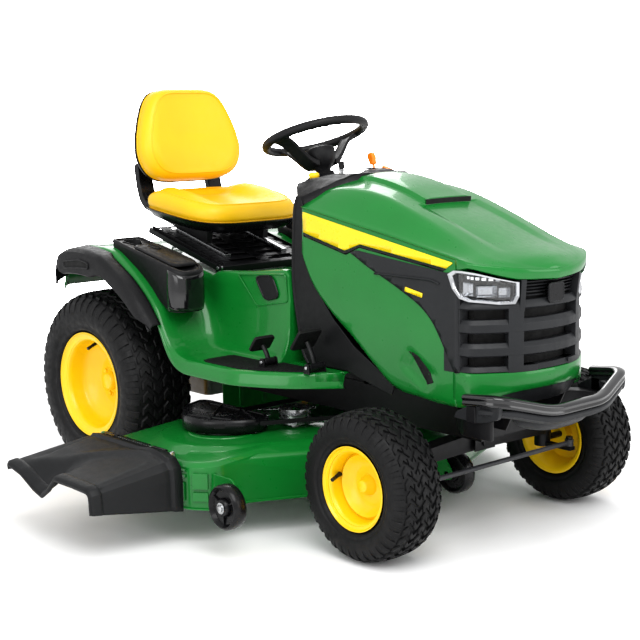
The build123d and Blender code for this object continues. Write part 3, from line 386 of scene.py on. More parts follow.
def stage():
    """Pale floor that fades into a white surround, the camera and four soft lights."""
    across = span(-FLOOR_HALF, FLOOR_HALF, 13)
    rows = [[(u, v, 0.0) for v in across] for u in across]
    mesh = bpy.data.meshes.new("floor")
    mesh.from_pydata([spot(*p) for row in rows for p in row], [], sheet_faces(len(across), len(across)))
    nodes, links = FLOOR.node_tree.nodes, FLOOR.node_tree.links
    place, scale = nodes.new("ShaderNodeTexCoord"), nodes.new("ShaderNodeMapping")
    scale.inputs["Scale"].default_value = (1 / FADE, 1 / FADE, 1 / FADE)
    links.new(place.outputs["Object"], scale.inputs["Vector"])
    ball = nodes.new("ShaderNodeTexGradient")
    ball.gradient_type = "SPHERICAL"
    links.new(scale.outputs["Vector"], ball.inputs["Vector"])
    fade = nodes.new("ShaderNodeMapRange")
    fade.inputs["From Min"].default_value = 0.05
    fade.inputs["From Max"].default_value = 0.6
    links.new(ball.outputs["Fac"], fade.inputs["Value"])
    links.new(fade.outputs["Result"], nodes["Principled BSDF"].inputs["Alpha"])
    mesh.materials.append(FLOOR)
    floor = bpy.data.objects.new("floor", mesh)
    bpy.context.scene.collection.objects.link(floor)

    forward = Vector((cos(YAW) * cos(PITCH), sin(YAW) * cos(PITCH), -sin(PITCH)))
    right = Vector((sin(YAW), -cos(YAW), 0))
    up = right.cross(forward)
    right_rolled = right * cos(ROLL) + up * sin(ROLL)
    up_rolled = up * cos(ROLL) - right * sin(ROLL)
    turn = Matrix((right_rolled, up_rolled, -forward)).transposed().to_4x4()
    data = bpy.data.cameras.new("camera")
    data.sensor_width, data.lens = SENSOR, FOCAL
    camera = bpy.data.objects.new("camera", data)
    camera.matrix_world = Matrix.Translation(spot(*EYE)) @ turn
    bpy.context.scene.collection.objects.link(camera)
    bpy.context.scene.camera = camera

    world = bpy.data.worlds.new("studio")
    world.use_nodes = True
    nodes, links = world.node_tree.nodes, world.node_tree.links
    glow, seen = nodes["Background"], nodes.new("ShaderNodeBackground")
    glow.inputs["Color"].default_value = seen.inputs["Color"].default_value = (1, 1, 1, 1)
    glow.inputs["Strength"].default_value = GLOW
    seen.inputs["Strength"].default_value = SURROUND
    ray, mix = nodes.new("ShaderNodeLightPath"), nodes.new("ShaderNodeMixShader")
    links.new(ray.outputs["Is Camera Ray"], mix.inputs[0])
    links.new(glow.outputs[0], mix.inputs[1])
    links.new(seen.outputs[0], mix.inputs[2])
    links.new(mix.outputs[0], nodes["World Output"].inputs["Surface"])
    bpy.context.scene.world = world
    view = bpy.context.scene.view_settings
    view.view_transform = "Standard"
    view.look = "Medium High Contrast"
    target = spot(*AIM)
    for name, place, size, power in LAMPS:
        light = bpy.data.lights.new(name, "AREA")
        light.shape, light.size, light.energy = "SQUARE", size, power
        lamp = bpy.data.objects.new(name, light)
        lamp.location = spot(*place)
        lamp.rotation_euler = (target - lamp.location).to_track_quat("-Z", "Y").to_euler()
        bpy.context.scene.collection.objects.link(lamp)


# --------------------------------------------------------------------- wheels
class Wheel:
    """Sizes of one wheel: its centre, tyre, rim and tread."""

    def __init__(self, hand, sign, end):
        self.hand, self.sign, self.end = hand, sign, end
        self.name, self.rear = f"{end}_{hand}", end == "rear"
        low, high = node_box(f"{end}_tyre_{hand}")
        self.centre = (low + high) / 2
        self.radius = (high.z - low.z) / 2
        self.half = (high.y - low.y) / 2
        self.bead, self.flange = (150, 173) if self.rear else (101, 115)
        self.lug = 8 if self.rear else 6
        self.body = f"{end}_wheel_{hand}"

    def crown(self, a):
        """Radius of the carcass under the tread, at a distance from the middle plane."""
        share = abs(a) / self.half
        high = self.radius - self.bead
        table = [(0, 1.0), (0.4, 0.985), (0.62, 0.955), (0.8, 0.9), (0.93, 0.79), (1.0, 0.6)]
        return self.bead + high * curve(table, share) - self.lug

    def on_crown(self, travel, a, rise):
        """Point at a distance round the tread, across it and above the carcass."""
        turn = travel / self.radius
        r = self.crown(a) + rise
        x, y, z = self.centre
        return (x + r * sin(turn), y + self.sign * a, z + r * cos(turn))


def tyre(wheel):
    """Turf tyre: smooth carcass, zigzag tread blocks and shoulder lugs."""
    half, bead, flange = wheel.half, wheel.bead, wheel.flange
    high = wheel.radius - bead
    outer = [(0.7 * half, bead), (0.74 * half, flange - 6), (0.8 * half, flange + 1),
             (0.85 * half, flange + 5), (0.9 * half, flange + 8), (0.93 * half, flange + 14),
             (0.92 * half, flange + 17)]
    wall = [(0.95, 0.34), (0.97, 0.36), (0.985, 0.42), (0.99, 0.5)]
    outer += [(a * half, bead + r * high) for a, r in wall]
    outer += [(a * half, wheel.crown(a * half)) for a in (0.985, 0.95, 0.9, 0.8, 0.62, 0.4, 0.2, 0)]
    profile = outer + [(-a, r) for a, r in reversed(outer[:-1])]
    x, y, z = wheel.centre
    carcass = lathe(f"{wheel.name}_carcass", profile, (x, y, z), wheel.body, "tyre", TYRE,
                    steps=96, closed=True, angle=60)

    around = 44 if wheel.rear else 38
    pitch = 2 * pi * wheel.radius / around
    rows = 5
    width = 1.5 * half / rows
    vertices, faces = [], []

    def block(outline, rise):
        """Block whose top is a little smaller than its foot."""
        mid_t = sum(t for t, _ in outline) / len(outline)
        mid_a = sum(a for _, a in outline) / len(outline)
        first = len(vertices)
        for share, height in ((1.0, -3.0), (1.0, 0.55 * rise), (0.84, rise)):
            for t, a in outline:
                vertices.append(wheel.on_crown(mid_t + share * (t - mid_t), mid_a + share * (a - mid_a),
                                               height))
        count = len(outline)
        for level in range(2):
            for k in range(count):
                n = (k + 1) % count
                low, top = first + level * count, first + (level + 1) * count
                faces.append((low + k, low + n, top + n, top + k))
        top = first + 2 * count
        for k in range(count // 2 - 1):
            faces.append((top + k, top + k + 1, top + count - 2 - k, top + count - 1 - k))

    for n in range(around):
        for row in range(rows):
            middle = (row - (rows - 1) / 2) * width
            lead = (1 if row % 2 else -1) * 0.2 * pitch
            start = n * pitch + (0.5 * pitch if row % 2 else 0)
            deep, edge = 0.27 * pitch, 0.44 * width
            bend = [(-lead, -edge), (lead, 0), (-lead, edge)]
            outline = [(start + t - deep, middle + a) for t, a in bend]
            outline += [(start + t + deep, middle + a) for t, a in reversed(bend)]
            block(outline, wheel.lug)
        for sign in (-1, 1):
            start = (n + (0.5 if sign > 0 else 0)) * pitch
            outline = [(start - 0.3 * pitch, sign * a * half) for a in (0.8, 0.88, 0.95, 0.985)]
            outline += [(start + 0.26 * pitch, sign * a * half) for a in (0.985, 0.95, 0.88, 0.8)]
            block(outline, 0.85 * wheel.lug)
    tread = piece(f"{wheel.name}_tread", vertices, faces, wheel.body, "tyre", TYRE, angle=25)
    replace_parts(join(f"{wheel.name}_tyre", [carcass, tread]), f"{wheel.end}_tyre_{wheel.hand}")


def rim(wheel):
    """Pressed rim with a rolled flange, deep dish, hub, wheel bolts and valve."""
    half, bead, flange, s = wheel.half, wheel.bead, wheel.flange, wheel.sign
    x, y, z = wheel.centre
    lip = 0.85 * half
    seat = -0.02 * half if wheel.rear else 0.08 * half
    hub = 40 if wheel.rear else 25
    reach = 44
    if not wheel.rear:
        low, high = node_box(f"knuckle_{wheel.hand}")
        reach = max(abs(low.y), abs(high.y)) - abs(y) + 12
    face = [(reach - 8, 0), (reach - 8, 0.55 * hub), (reach - 12, 0.72 * hub), (seat + 16, 0.8 * hub),
            (seat + 12, hub), (seat + 2, 1.12 * hub), (seat, 0.5 * bead), (seat + 3, 0.62 * bead),
            (seat + 16, 0.74 * bead), (seat + 24, 0.82 * bead), (0.28 * half, 0.9 * bead),
            (0.4 * half, bead - 10), (0.62 * half, bead - 7), (lip - 12, bead - 5), (lip - 8, bead),
            (lip - 6, flange - 9), (lip - 2, flange - 3), (lip + 2, flange), (lip + 3, flange - 3),
            (lip - 4, flange - 7)]
    back = [(0.79 * half, bead - 0.4), (-0.79 * half, bead - 0.4), (-lip + 2, flange - 6), (-lip - 2, flange),
            (-lip - 3, flange - 3), (-lip + 6, bead - 5), (seat - 6, 0.8 * bead), (seat - 8, 0.5 * bead),
            (seat - 8, hub), (-0.35 * half, hub), (-0.35 * half, 0)]
    parts = [lathe(f"{wheel.name}_disc", face + back, (x, y, z), wheel.body, "yellow_rim", YELLOW,
                   sign=s, steps=96, angle=50, bevel=0.8)]
    bolts = 4 if wheel.rear else 0
    for k in range(bolts):
        turn = 2 * pi * k / bolts + 0.5
        place = (x + 0.36 * bead * sin(turn), y + s * (seat - 1), z + 0.36 * bead * cos(turn))
        head = [(0, 0), (0, 13), (4, 13), (5, 9), (12, 8.5), (13, 7), (13, 0)]
        parts.append(lathe(f"{wheel.name}_bolt_{k}", head, place, wheel.body, "yellow_rim", YELLOW,
                           sign=s, steps=6, bevel=0.6))
    if wheel.rear:
        parts.append(tube(f"{wheel.name}_shaft", [(x, s * 130, z), (x, s * 400, z)], 12.6, wheel.body,
                          "bright_steel", STEEL, sides=20))
    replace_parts(join(f"{wheel.name}_rim", parts), f"{wheel.end}_rim_{wheel.hand}")
    turn = radians(-4 if wheel.rear else -78)
    radial = Vector((sin(turn), 0, cos(turn)))
    foot = Vector((x, y + s * 0.42 * half, z)) + radial * (bead - 14)
    stem = [foot, foot + Vector((0, s * 12, 0)) - radial * 4, foot + Vector((0, s * 34, 0)) - radial * 14]
    tube(f"{wheel.name}_valve", smooth_path(stem, 4), lambda t: 7 - 2.5 * t, wheel.body, "black_rubber",
         RUBBER, sides=12, bevel=0.8)
    cap = [foot + Vector((0, s * 32, 0)) - radial * 13, foot + Vector((0, s * 46, 0)) - radial * 19]
    tube(f"{wheel.name}_valve_cap", cap, 5.6, wheel.body, "black_plastic", SMOOTH, sides=10, bevel=1)


stage()
for hand, sign in SIDES:
    for end in ("rear", "front"):
        wheel = Wheel(hand, sign, end)
        tyre(wheel)
        rim(wheel)


# ----------------------------------------------------------------------- hood
# Outline of the hood from the middle of the nose to its rear edge, one row per
# station: x, y, side edge z, crease z, ridge z, and x on the centre line.
HOOD = (
    (1534, 0, 768, 769, 771, 1534), (1532, 30, 769, 770, 773, 1533), (1527, 70, 771, 772, 778, 1530),
    (1510, 126, 776, 778, 786, 1520), (1480, 182, 783, 790, 800, 1496), (1436, 236, 791, 803, 814, 1452),
    (1378, 242, 803, 826, 838, 1384), (1250, 243, 827, 880, 890, 1250), (1136, 243, 848, 922, 926, 1136),
    (1050, 243, 862, 948, 958, 1050), (958, 242, 877, 963, 982, 958), (860, 241, 894, 964, 992, 870),
    (775, 240, 908, 952, 990, 800),
)
REAR_Q = len(HOOD) - 1
CORNER_Q = 3.0  # where the nose turns into the side
SCOOP_Q, SCOOP_Y = 8.0, 96  # station and half width of the air scoop's mouth
SCOOP_X = HOOD[int(SCOOP_Q)][0]
GRILLE_LOW, GRILLE_SIDE = 500, 6.3  # lowest z, and the station at which it ends
SIDE_X, BAND_X = 1384, 1374  # where the side sheet and the band under the grille start


def station(q):
    """Hood figures at a distance from the nose, counted in stations."""
    q = min(abs(q), REAR_Q)
    return [curve([(k, row[c]) for k, row in enumerate(HOOD)], q) for c in range(6)]


def hood_q(x):
    """Station at which the side of the hood passes x."""
    low, high = CORNER_Q, float(REAR_Q)
    for _ in range(30):
        middle = (low + high) / 2
        low, high = (middle, high) if station(middle)[0] > x else (low, middle)
    return low


def wall(q, z, inset=0.0):
    """Point on the hood's upright wall; q is negative on the right side."""
    sign = -1 if q < 0 else 1
    x, y, edge = station(q)[:3]
    ahead, behind = station(max(abs(q) - 0.04, 0)), station(abs(q) + 0.04)
    along = Vector((ahead[0] - behind[0], ahead[1] - behind[1], 0))
    if abs(q) < 0.05:
        along = Vector((0, -1, 0))
    outward = Vector((-along.y, along.x, 0)).normalized()
    side = steady(abs(q), 4.5, 6.5)
    lean = (1 - side) * 12 * min(max((edge - 20 - z) / 40, 0), 1)
    bulge = side * 4.5 * sin(pi * min(max((z - 430) / 420, 0), 1)) - side * 4
    point = Vector((x, y, z)) + outward * (bulge - lean - inset)
    return (point.x, sign * point.y, point.z)


def lower_edge(x):
    """Lowest z of the hood's green side at x."""
    return curve([(775, 760), (785, 740), (819, 684), (896, 612), (987, 548), (1068, 484), (1150, 428),
                  (1260, 412), (1378, 405), (1420, 408), (1470, 430), (1510, 446), (1540, 452)], x)


def vent_hollow(x, z):
    """Depth of the scooped hollow round the side vent."""
    across = abs((z - 489) + 0.62 * (x - 1246)) / 44
    along = abs((x - 1246) - 0.62 * (z - 489)) / 74
    return 9 * (1 - steady(max(across, along), 0.55, 1.0))


def hood_top():
    """Crowned top with a raised tongue that ends in the air scoop."""
    rows = []
    # Shares of the half width: close together at the tongue's edge and at the hood's edge.
    shares = [0, 0.12, 0.22, 0.3, 0.36, 0.395, 0.4, 0.44, 0.5, 0.56, 0.62, 0.68, 0.72, 0.76, 0.82, 0.88, 0.94,
              0.975, 1.0]
    stations = sorted(span(0, REAR_Q, 61) + [SCOOP_Q, SCOOP_Q + 0.02])
    for q in stations:
        x, y, edge, crease, ridge, middle = station(q)
        lift = 13 * steady(q, SCOOP_Q, SCOOP_Q + 0.02) * (1 - steady(q, 10.5, 11.8))
        sink = -9 * (1 - steady(q, SCOOP_Q - 0.01, SCOOP_Q + 0.01)) * steady(q, 4.6, 7.2)
        row = []
        for share in [-v for v in reversed(shares[1:])] + shares:
            v = abs(share)
            px = middle + (x - middle) * v ** 1.6
            body = edge + (crease - edge) * steady(1 - v, 0, 0.31) ** 0.8 if v > 0.7 else \
                crease + (ridge - crease) * sin((1 - v / 0.7) * pi / 2)
            py = v * y
            tongue = lift * (1 - steady(py, 84, 97))
            facet = sink * (1 - steady(v, 0.42, 0.52))
            row.append((px, (1 if share > 0 else -1) * py, body + tongue + facet))
        rows.append(row)
    top = grid("hood_top", rows, "hood", "green_panel", GREEN, angle=24)
    return thick(top, 4)


def hood_walls():
    """Green sides, the band under the grille and the lip above it."""
    parts = []
    for sign in (-1, 1):
        rows = []
        for q in span(hood_q(SIDE_X), REAR_Q, 64):
            x, _, edge = station(q)[:3]
            low = lower_edge(x)
            row = []
            for t in span(0, 1, 40):
                z = low + (edge - low) * t
                row.append(wall(sign * q, z, vent_hollow(x, z) + 5 * (1 - steady(z, low, low + 14))))
            rows.append(row)
        side = grid(f"hood_side_{sign}", rows, "hood", "green_panel", GREEN, angle=40)
        parts.append(thick(side, 4))
    front = hood_q(BAND_X)
    rows = []
    for q in span(-front, front, 81):
        x = station(q)[0]
        low = max(lower_edge(x), 405)
        top = GRILLE_LOW + 3
        section = [(low, 16), (low + 2, 3), (low + 8, -1), (low + 22, -2), (top - 10, -3), (top - 3, -1),
                   (top, 4), (top, 24)]
        mix = steady(abs(q), front - 1.1, front)
        rows.append([wall(q, z, inset * (1 - mix) + 5 * mix * (1 - steady(z, low, low + 14)))
                     for z, inset in section])
    parts.append(thick(grid("hood_band", rows, "hood", "green_panel", GREEN, angle=40), 3))
    rows = []
    for q in span(-5.95, 5.95, 85):
        edge, low = station(q)[2], lip_low(q)
        section = [(edge, 0), (edge - 4, -1.5), ((edge + low) / 2, -1), (low + 3, 0), (low, 5), (low, 22)]
        rows.append([wall(q, z, inset) for z, inset in section])
    parts.append(thick(grid("hood_lip", rows, "hood", "green_panel", GREEN, angle=40), 3))
    return parts


def lip_low(q):
    """Lower edge of the green lip over the grille and the headlights."""
    return curve([(0, 738), (2.9, 744), (3.2, 746), (4.0, 757), (4.9, 774), (5.3, 776), (5.8, 770)], abs(q))


def conformed(name, outline, sign, proud, slot, material, thickness=5, **more):
    """Plate that follows the hood's wall; the outline is drawn in x and z."""
    shape = bmesh.new()
    ring = [shape.verts.new((x, z, 0)) for x, z in outline]
    shape.faces.new(ring)
    cuts = [((x, 0, 0), (1, 0, 0)) for x in span(760, 1500, 38)]
    cuts += [((0, z, 0), (0, 1, 0)) for z in span(440, 900, 24)]
    for place, normal in cuts:
        geometry = shape.verts[:] + shape.edges[:] + shape.faces[:]
        bmesh.ops.bisect_plane(shape, geom=geometry, plane_co=place, plane_no=normal)
    shape.verts.index_update()
    points = [wall(sign * hood_q(v.co.x), v.co.y, vent_hollow(v.co.x, v.co.y) - proud) for v in shape.verts]
    faces = [tuple(v.index for v in face.verts) for face in shape.faces]
    shape.free()
    plate = piece(name, points, faces, "hood", slot, material, **more)
    outward = plate.data.polygons[0].normal.y * sign
    return thick(plate, thickness, -1.0 if outward > 0 else 1.0)


STRIPE_OUTLINE = [(779, 893), (1376, 789), (1352, 773), (1024, 815), (962, 793), (781, 834)]
PINSTRIPE = [(781, 832), (962, 791), (1024, 813), (1352, 771), (1340, 764), (1022, 805), (966, 781),
             (782, 822)]
DART = [(984, 789), (1010, 797), (1352, 762), (1372, 764), (1392, 770), (1396, 500), (1382, 497), (1376, 506),
        (1340, 574), (1306, 629), (1258, 668), (1154, 716), (1066, 750)]


def hood_trim():
    """Stripe, dark side panel and vent on each side."""
    for hand, sign in SIDES:
        conformed(f"hood_stripe_{hand}", rounded(STRIPE_OUTLINE, [3, 6, 2, 2, 6, 3], 3), sign, 2.4,
                  "knob_yellow", STRIPE)
        conformed(f"hood_pinstripe_{hand}", PINSTRIPE, sign, 1.7, "black_plastic", SMOOTH)
        conformed(f"hood_dart_{hand}", rounded(DART, [2, 6, 2, 4, 2, 2, 4, 10, 30, 30, 30, 60, 20], 3), sign,
                  2.2, "grey_plastic", GREY, thickness=6, bevel=1.2)
        fin = [(1086, 741), (1300, 741), (1330, 733), (1330, 728), (1298, 735), (1086, 736)]
        conformed(f"hood_dart_fin_{hand}", rounded(fin, 2, 2), sign, 5.5, "grey_plastic", GREY,
                  bevel=1)
        # The vent slot is a thin plate in painted shade black, standing in for the shade inside the slot.
        vent = [(1212, 536), (1248, 528), (1306, 462), (1276, 451)]
        conformed(f"hood_vent_{hand}", rounded(vent, 4, 3), sign, 0.8, "black_plastic", PAINTED_SHADE,
                  thickness=2)
        badge = rounded([(1206, 712), (1270, 700), (1268, 688), (1204, 700)], 3, 3)
        conformed(f"hood_badge_{hand}", badge, sign, 4.2, "knob_yellow", STRIPE, thickness=4,
                  bevel=0.6)


def scoop():
    """Mouth of the air scoop, a face in painted shade black that stands in for the shade inside it, with a
    rounded rim.
    """
    crease, z = station(SCOOP_Q)[3:5]
    rows = []
    for y in span(-SCOOP_Y + 3, SCOOP_Y - 3, 21):
        dip = (crease - z) * (abs(y) / 170) ** 2
        rows.append([(SCOOP_X + 1.5, y, z + dip - 3), (SCOOP_X + 2.5, y, z + dip + 10.5),
                     (SCOOP_X - 6, y, z + dip + 10.5)])
    grid("hood_scoop", rows, "hood", "black_plastic", PAINTED_SHADE)


def swept(name, q0, q1, section, material, slot, count, bevel=0.0):
    """Bar that follows the nose; the section gives (z, inset) points."""
    rows = [[wall(q, z, inset) for z, inset in section] for q in span(q0, q1, count)]
    return grid(name, rows, "hood", slot, material, wrap_columns=True, caps=True, bevel=bevel, angle=30)


def grille():
    """Dark louvred grille: frame, bars, backing, fins and a plain badge."""
    # The backing behind the bars is painted shade: a near-black sheet standing in for the shade behind the
    # louvres.
    backing = [(GRILLE_LOW, 34), (750, 34), (750, 38), (GRILLE_LOW, 38)]
    parts = [swept("grille_back", -GRILLE_SIDE, GRILLE_SIDE, backing, PAINTED_SHADE, "grey_plastic", 61)]
    rails = ((GRILLE_LOW, 517), (543, 579), (605, 641), (667, 690))
    for n, (low, high) in enumerate(rails):
        face = [(low, 3), (low + 4, -2), (high - 12, -1), (high, 8), (high, 30), (low, 30)]
        parts.append(swept(f"grille_rail_{n}", -6.25, 6.25, face, GREY, "grey_plastic", 97, 1.2))
    for sign in (-1, 1):
        for q0, q1, low, high in ((2.75, 3.5, GRILLE_LOW, 678), (2.72, 2.98, 660, 745),
                                  (5.75, GRILLE_SIDE, GRILLE_LOW, 700), (1.9, 3.1, GRILLE_LOW, 517)):
            post = [(low, 30), (low, -1.5), (high, -1.5), (high, 30)]
            parts.append(swept(f"grille_post_{sign}_{q0}", sign * q0, sign * q1, post, GREY, "grey_plastic",
                               9, 1.2))
    for n in range(5):
        z = 698 + 9 * n
        fin = [(z, 14), (z + 4, 12), (z + 4, 30), (z, 30)]
        parts.append(swept(f"grille_fin_{n}", -2.9, 2.9, fin, GREY, "grey_plastic", 31))
    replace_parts(join("grille_louvres", parts), "grille")
    badge_x, badge_z, badge_deep = 1518, 703, 7
    slab("grille_badge", rectangle(66, 54, 14, 0, badge_z), lambda u, v, d: (badge_x + d, u, v), 0,
         badge_deep, "hood", "grey_plastic", SMOOTH, bevel=2, segments=3)
    rim_line = [(badge_x + badge_deep, u, v) for u, v in rectangle(58, 46, 11, 0, badge_z)]
    tube("grille_badge_rim", rim_line, 1.0, "hood", "grey_plastic", GREY, sides=8, closed=True)


LAMP = [(3.08, 740), (3.02, 700), (3.2, 681), (3.9, 681), (5.2, 690), (5.75, 697), (6.05, 722), (6.2, 760),
        (6.0, 771), (5.55, 772), (4.85, 768), (4.0, 752), (3.3, 742)]


def cup(name, brim, floor, slot, material):
    """Shallow bowl in the hood, from its brim in to a flat floor."""
    count = len(brim)
    faces = sheet_faces(2, count, wrap_columns=True) + [tuple(range(count, 2 * count))]
    piece(name, brim + floor, faces, "hood", slot, material)


def headlight(hand, sign):
    """Chrome bezel, dark bowl with two reflectors and an LED row, and the lens."""
    outline = rounded(LAMP, 0.1, 1)
    middle_q = sum(q for q, _ in LAMP) / len(LAMP)
    middle_z = sum(z for _, z in LAMP) / len(LAMP)

    def ring(across, up, inset):
        return [wall(sign * (middle_q + (q - middle_q) * across), middle_z + (z - middle_z) * up, inset)
                for q, z in outline]

    rows = [ring(1.0, 1.0, 16), ring(1.0, 1.0, -2), ring(0.985, 0.975, -5), ring(0.91, 0.84, -5),
            ring(0.89, 0.8, -2), ring(0.88, 0.78, 12), ring(0.86, 0.74, 18)]
    bezel = grid(f"headlight_bezel_{hand}", rows, "hood", "chrome_trim", CHROME, wrap_columns=True, angle=50)
    cup(f"headlight_bowl_{hand}", ring(0.88, 0.78, 10), ring(0.8, 0.66, 22), "grey_plastic", GREY)
    for n, (q, z, reach, high) in enumerate(((5.35, 722, 0.36, 17), (4.4, 716, 0.42, 15),
                                             (3.65, 712, 0.26, 13))):
        loop = rectangle(2 * reach, 2 * high, 0.16, q, 0, 4)
        outer = [wall(sign * u, z + v, 8) for u, v in loop]
        inner = [wall(sign * (q + (u - q) * 0.7), z + v * 0.6, 20) for u, v in loop]
        cup(f"headlight_cell_{hand}_{n}", outer, inner, "chrome_trim", CHROME)
    for n, q in enumerate(span(3.9, 5.2, 6)):
        low = 743 + 5 * (q - 3.9)
        bar = [(low, 8), (low, 4), (low + 8, 4), (low + 8, 8)]
        swept(f"headlight_led_{hand}_{n}", sign * q, sign * (q + 0.17), bar, LED, "lens", 3, 0.6)
    face, deep = ring(0.9, 0.82, 1.0), ring(0.9, 0.82, 3.5)
    count = len(face)
    faces = sheet_faces(2, count, wrap_columns=True)
    faces += [tuple(range(count)), tuple(range(2 * count - 1, count - 1, -1))]
    lens = piece(f"headlight_lens_{hand}", face + deep, faces, "hood", "lens", LENS)
    return bezel, lens


def hood():
    """Hood with its trim, scoop, grille and headlights."""
    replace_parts(join("hood_skin", hood_walls() + [hood_top()]), "hood_shell")
    hood_trim()
    scoop()
    grille()
    for hand, sign in SIDES:
        bezel, lens = headlight(hand, sign)
        if sign > 0:
            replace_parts(bezel, "headlight_bezels")
            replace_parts(lens, "headlight_lenses")


hood()


# ------------------------------------------------------- body, fenders, footrest
ARCH = [(-212, 612), (-196, 668), (-150, 728), (-90, 750), (-20, 754), (61, 747), (123, 720), (190, 684),
        (242, 650), (285, 614), (320, 578), (345, 534), (362, 503), (384, 474), (410, 455), (440, 445),
        (475, 441), (960, 440)]
BODY_TOP = [(-212, 640), (-196, 700), (-172, 735), (0, 716), (140, 695), (330, 664), (352, 662), (500, 657),
            (690, 655), (708, 650), (718, 628), (724, 600)]
BODY_RIM = [(-212, 640), (-196, 700), (-172, 736), (0, 724), (140, 706), (300, 676), (340, 673), (362, 684),
            (400, 690), (538, 700), (660, 714), (704, 716), (716, 700), (724, 640)]
STEP_EDGE = [(-212, 450), (640, 450), (690, 447), (745, 426), (792, 403), (840, 372), (875, 342), (905, 306),
             (930, 276), (956, 246)]
STEP_Z, DASH_X, BODY_Y = 440, 726, 246
PEDAL_PIN_Z = 458
# Name, x and y of the pivot, half width, how far back and up the pad stands, and its length.
PEDALS = (("forward_pedal", 895, -300, 26, 38, 74, 70), ("reverse_pedal", 735, -340, 20, 30, 50, 52),
          ("brake_pedal", 895, 300, 26, 38, 74, 70))


def fender_sheet():
    """Fender, body side, body top and footrest as one pressed sheet."""
    stations = sorted(span(-212, 470, 58) + span(486, 956, 40) + [719, 724, DASH_X, DASH_X + 2])
    rows = []
    for x in stations:
        z = curve(ARCH, x)
        edge = curve(STEP_EDGE, x)
        top = curve(BODY_TOP, x) if x < DASH_X else STEP_Z + 1
        brim = curve(BODY_RIM, x) if x < DASH_X else STEP_Z + 1
        lip = 46 if x > 480 else 30 + 16 * steady(x, 300, 480) - 12 * (1 - steady(x, -200, 60))
        wide = edge - BODY_Y
        foot = 40 * steady(x, 200, 420) * (1 - steady(x, 690, DASH_X))
        blend = min(0.45 * wide, 62)
        rise = brim - z
        under = min(12, 0.3 * abs(rise)) * (1 if rise > 0 else -1)
        half = [(edge - 5, z - lip), (edge, z - lip + 2), (edge + 0.5, z - 0.62 * lip),
                (edge - 3, z - 0.52 * lip), (edge - 4, z - 12), (edge - 8, z - 4), (edge - 15, z),
                (edge - 0.35 * wide, z), (BODY_Y + blend, z), (BODY_Y + 0.6 * blend, z + 0.04 * rise),
                (BODY_Y + 0.3 * blend, z + 0.14 * rise), (BODY_Y + 0.1 * blend, z + 0.3 * rise),
                (BODY_Y, z + 0.5 * rise + 0.1 * foot), (BODY_Y - 2, z + 0.8 * rise), (242, brim - under),
                (238, brim - 3), (231, brim), (222, brim - 1), (214, 0.3 * top + 0.7 * brim - 2),
                (204, 0.8 * top + 0.2 * brim), (190, top), (120, top + 1), (0, top + 1)]
        half = [(min(y, edge), h) for y, h in half] if wide > 30 else \
            [(min(y, edge + 0.5), min(h, STEP_Z + 1)) for y, h in half]
        rows.append([(x, -y, h) for y, h in half] + [(x, y, h) for y, h in reversed(half[:-1])])
    parts = [thick(grid("body_skin", rows, "chassis", "green_panel", GREEN, angle=38), 3.5)]
    apron = [(-241, 528), (241, 528), (241, 640), (-241, 640)]
    parts.append(slab("body_apron", rounded(apron, [30, 30, 2, 2]), lambda u, v, d: (-212 + d, u, v), 0, 4,
                      "chassis", "green_panel", GREEN))
    for hand, s in SIDES:
        front = [(x, y) for x, y in STEP_EDGE if x > 880]
        rows = [[(x - 2, s * y, z) for x, y in front] for z in (STEP_Z - 46, STEP_Z - 4, STEP_Z)]
        parts.append(thick(grid(f"step_front_{hand}", rows, "chassis", "green_panel", GREEN), 3.5))
    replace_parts(join("body_sheet", parts), "fender_deck")


def pedal_base():
    """Ears and pins that carry the drive and brake pedals."""
    for name, x, _, half, *_ in PEDALS:
        low, high = node_box(name)
        y = (low.y + high.y) / 2
        for side in (-1, 1):
            ear = rounded([(x - 13, STEP_Z), (x + 13, STEP_Z), (x + 8, 470), (x - 8, 470)], [1, 1, 8, 8], 4)
            slab(f"{name}_ear_{side}", ear, upright(y + side * (half + 3), side), 0, 4, "chassis",
                 "frame_black", SOOT, bevel=0.6)
        tube(f"{name}_pin", [(x, y - half - 10, PEDAL_PIN_Z), (x, y + half + 10, PEDAL_PIN_Z)], 5, "chassis",
             "bright_steel", STEEL, sides=16, bevel=0.8)


def foot_pedal(name, x, y, half, lean, reach, length):
    """Pivot tube, bent stem and a rubber pad with raised ribs."""
    parts = [tube(f"{name}_hub", [(x, y - half + 1, PEDAL_PIN_Z), (x, y + half - 1, PEDAL_PIN_Z)], 11, name,
                  "black_plastic", SOOT, sides=24, bevel=1)]
    top = Vector((x - lean, y, PEDAL_PIN_Z + reach))
    stem = smooth_path([(x, y, PEDAL_PIN_Z + 4), (x - 0.25 * lean, y, PEDAL_PIN_Z + 0.4 * reach),
                        top - Vector((-6, 0, 6))], 5)
    parts.append(tube(f"{name}_stem", stem, 8, name, "black_plastic", SOOT, sides=10, flatten=0.7))
    across = half + 18
    lean_back, up = Vector((-0.8, 0, 0.6)), Vector((0.6, 0, 0.8))

    def on_pad(u, v, d):
        return tuple(top + Vector((0, u, 0)) + up * v + lean_back * (d - 5 * (u / across) ** 2))

    outline = rectangle(2 * across, length, 10, steps=5)
    parts.append(slab(f"{name}_pad", outline, on_pad, 0, 10, name, "black_rubber", RUBBER, bevel=2.5))
    ribs = 7
    for k in range(ribs):
        v = (k - (ribs - 1) / 2) * length * 0.115
        rib = rectangle(2 * across - 16, length * 0.05, 1.5, 0, v, 2)
        parts.append(slab(f"{name}_rib_{k}", rib, on_pad, 9, 13, name, "black_rubber", RUBBER, bevel=0.8))
    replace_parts(join(f"{name}_whole", parts), name)


# Plan of the mats as (x, y), and their front edge as (y, x).
MAT = [(505, 268), (505, 400), (535, 424), (690, 422), (760, 396), (838, 348), (888, 300), (905, 268)]
MAT_FRONT = [(262, 905), (300, 888), (348, 838), (396, 760), (420, 700), (440, 660)]


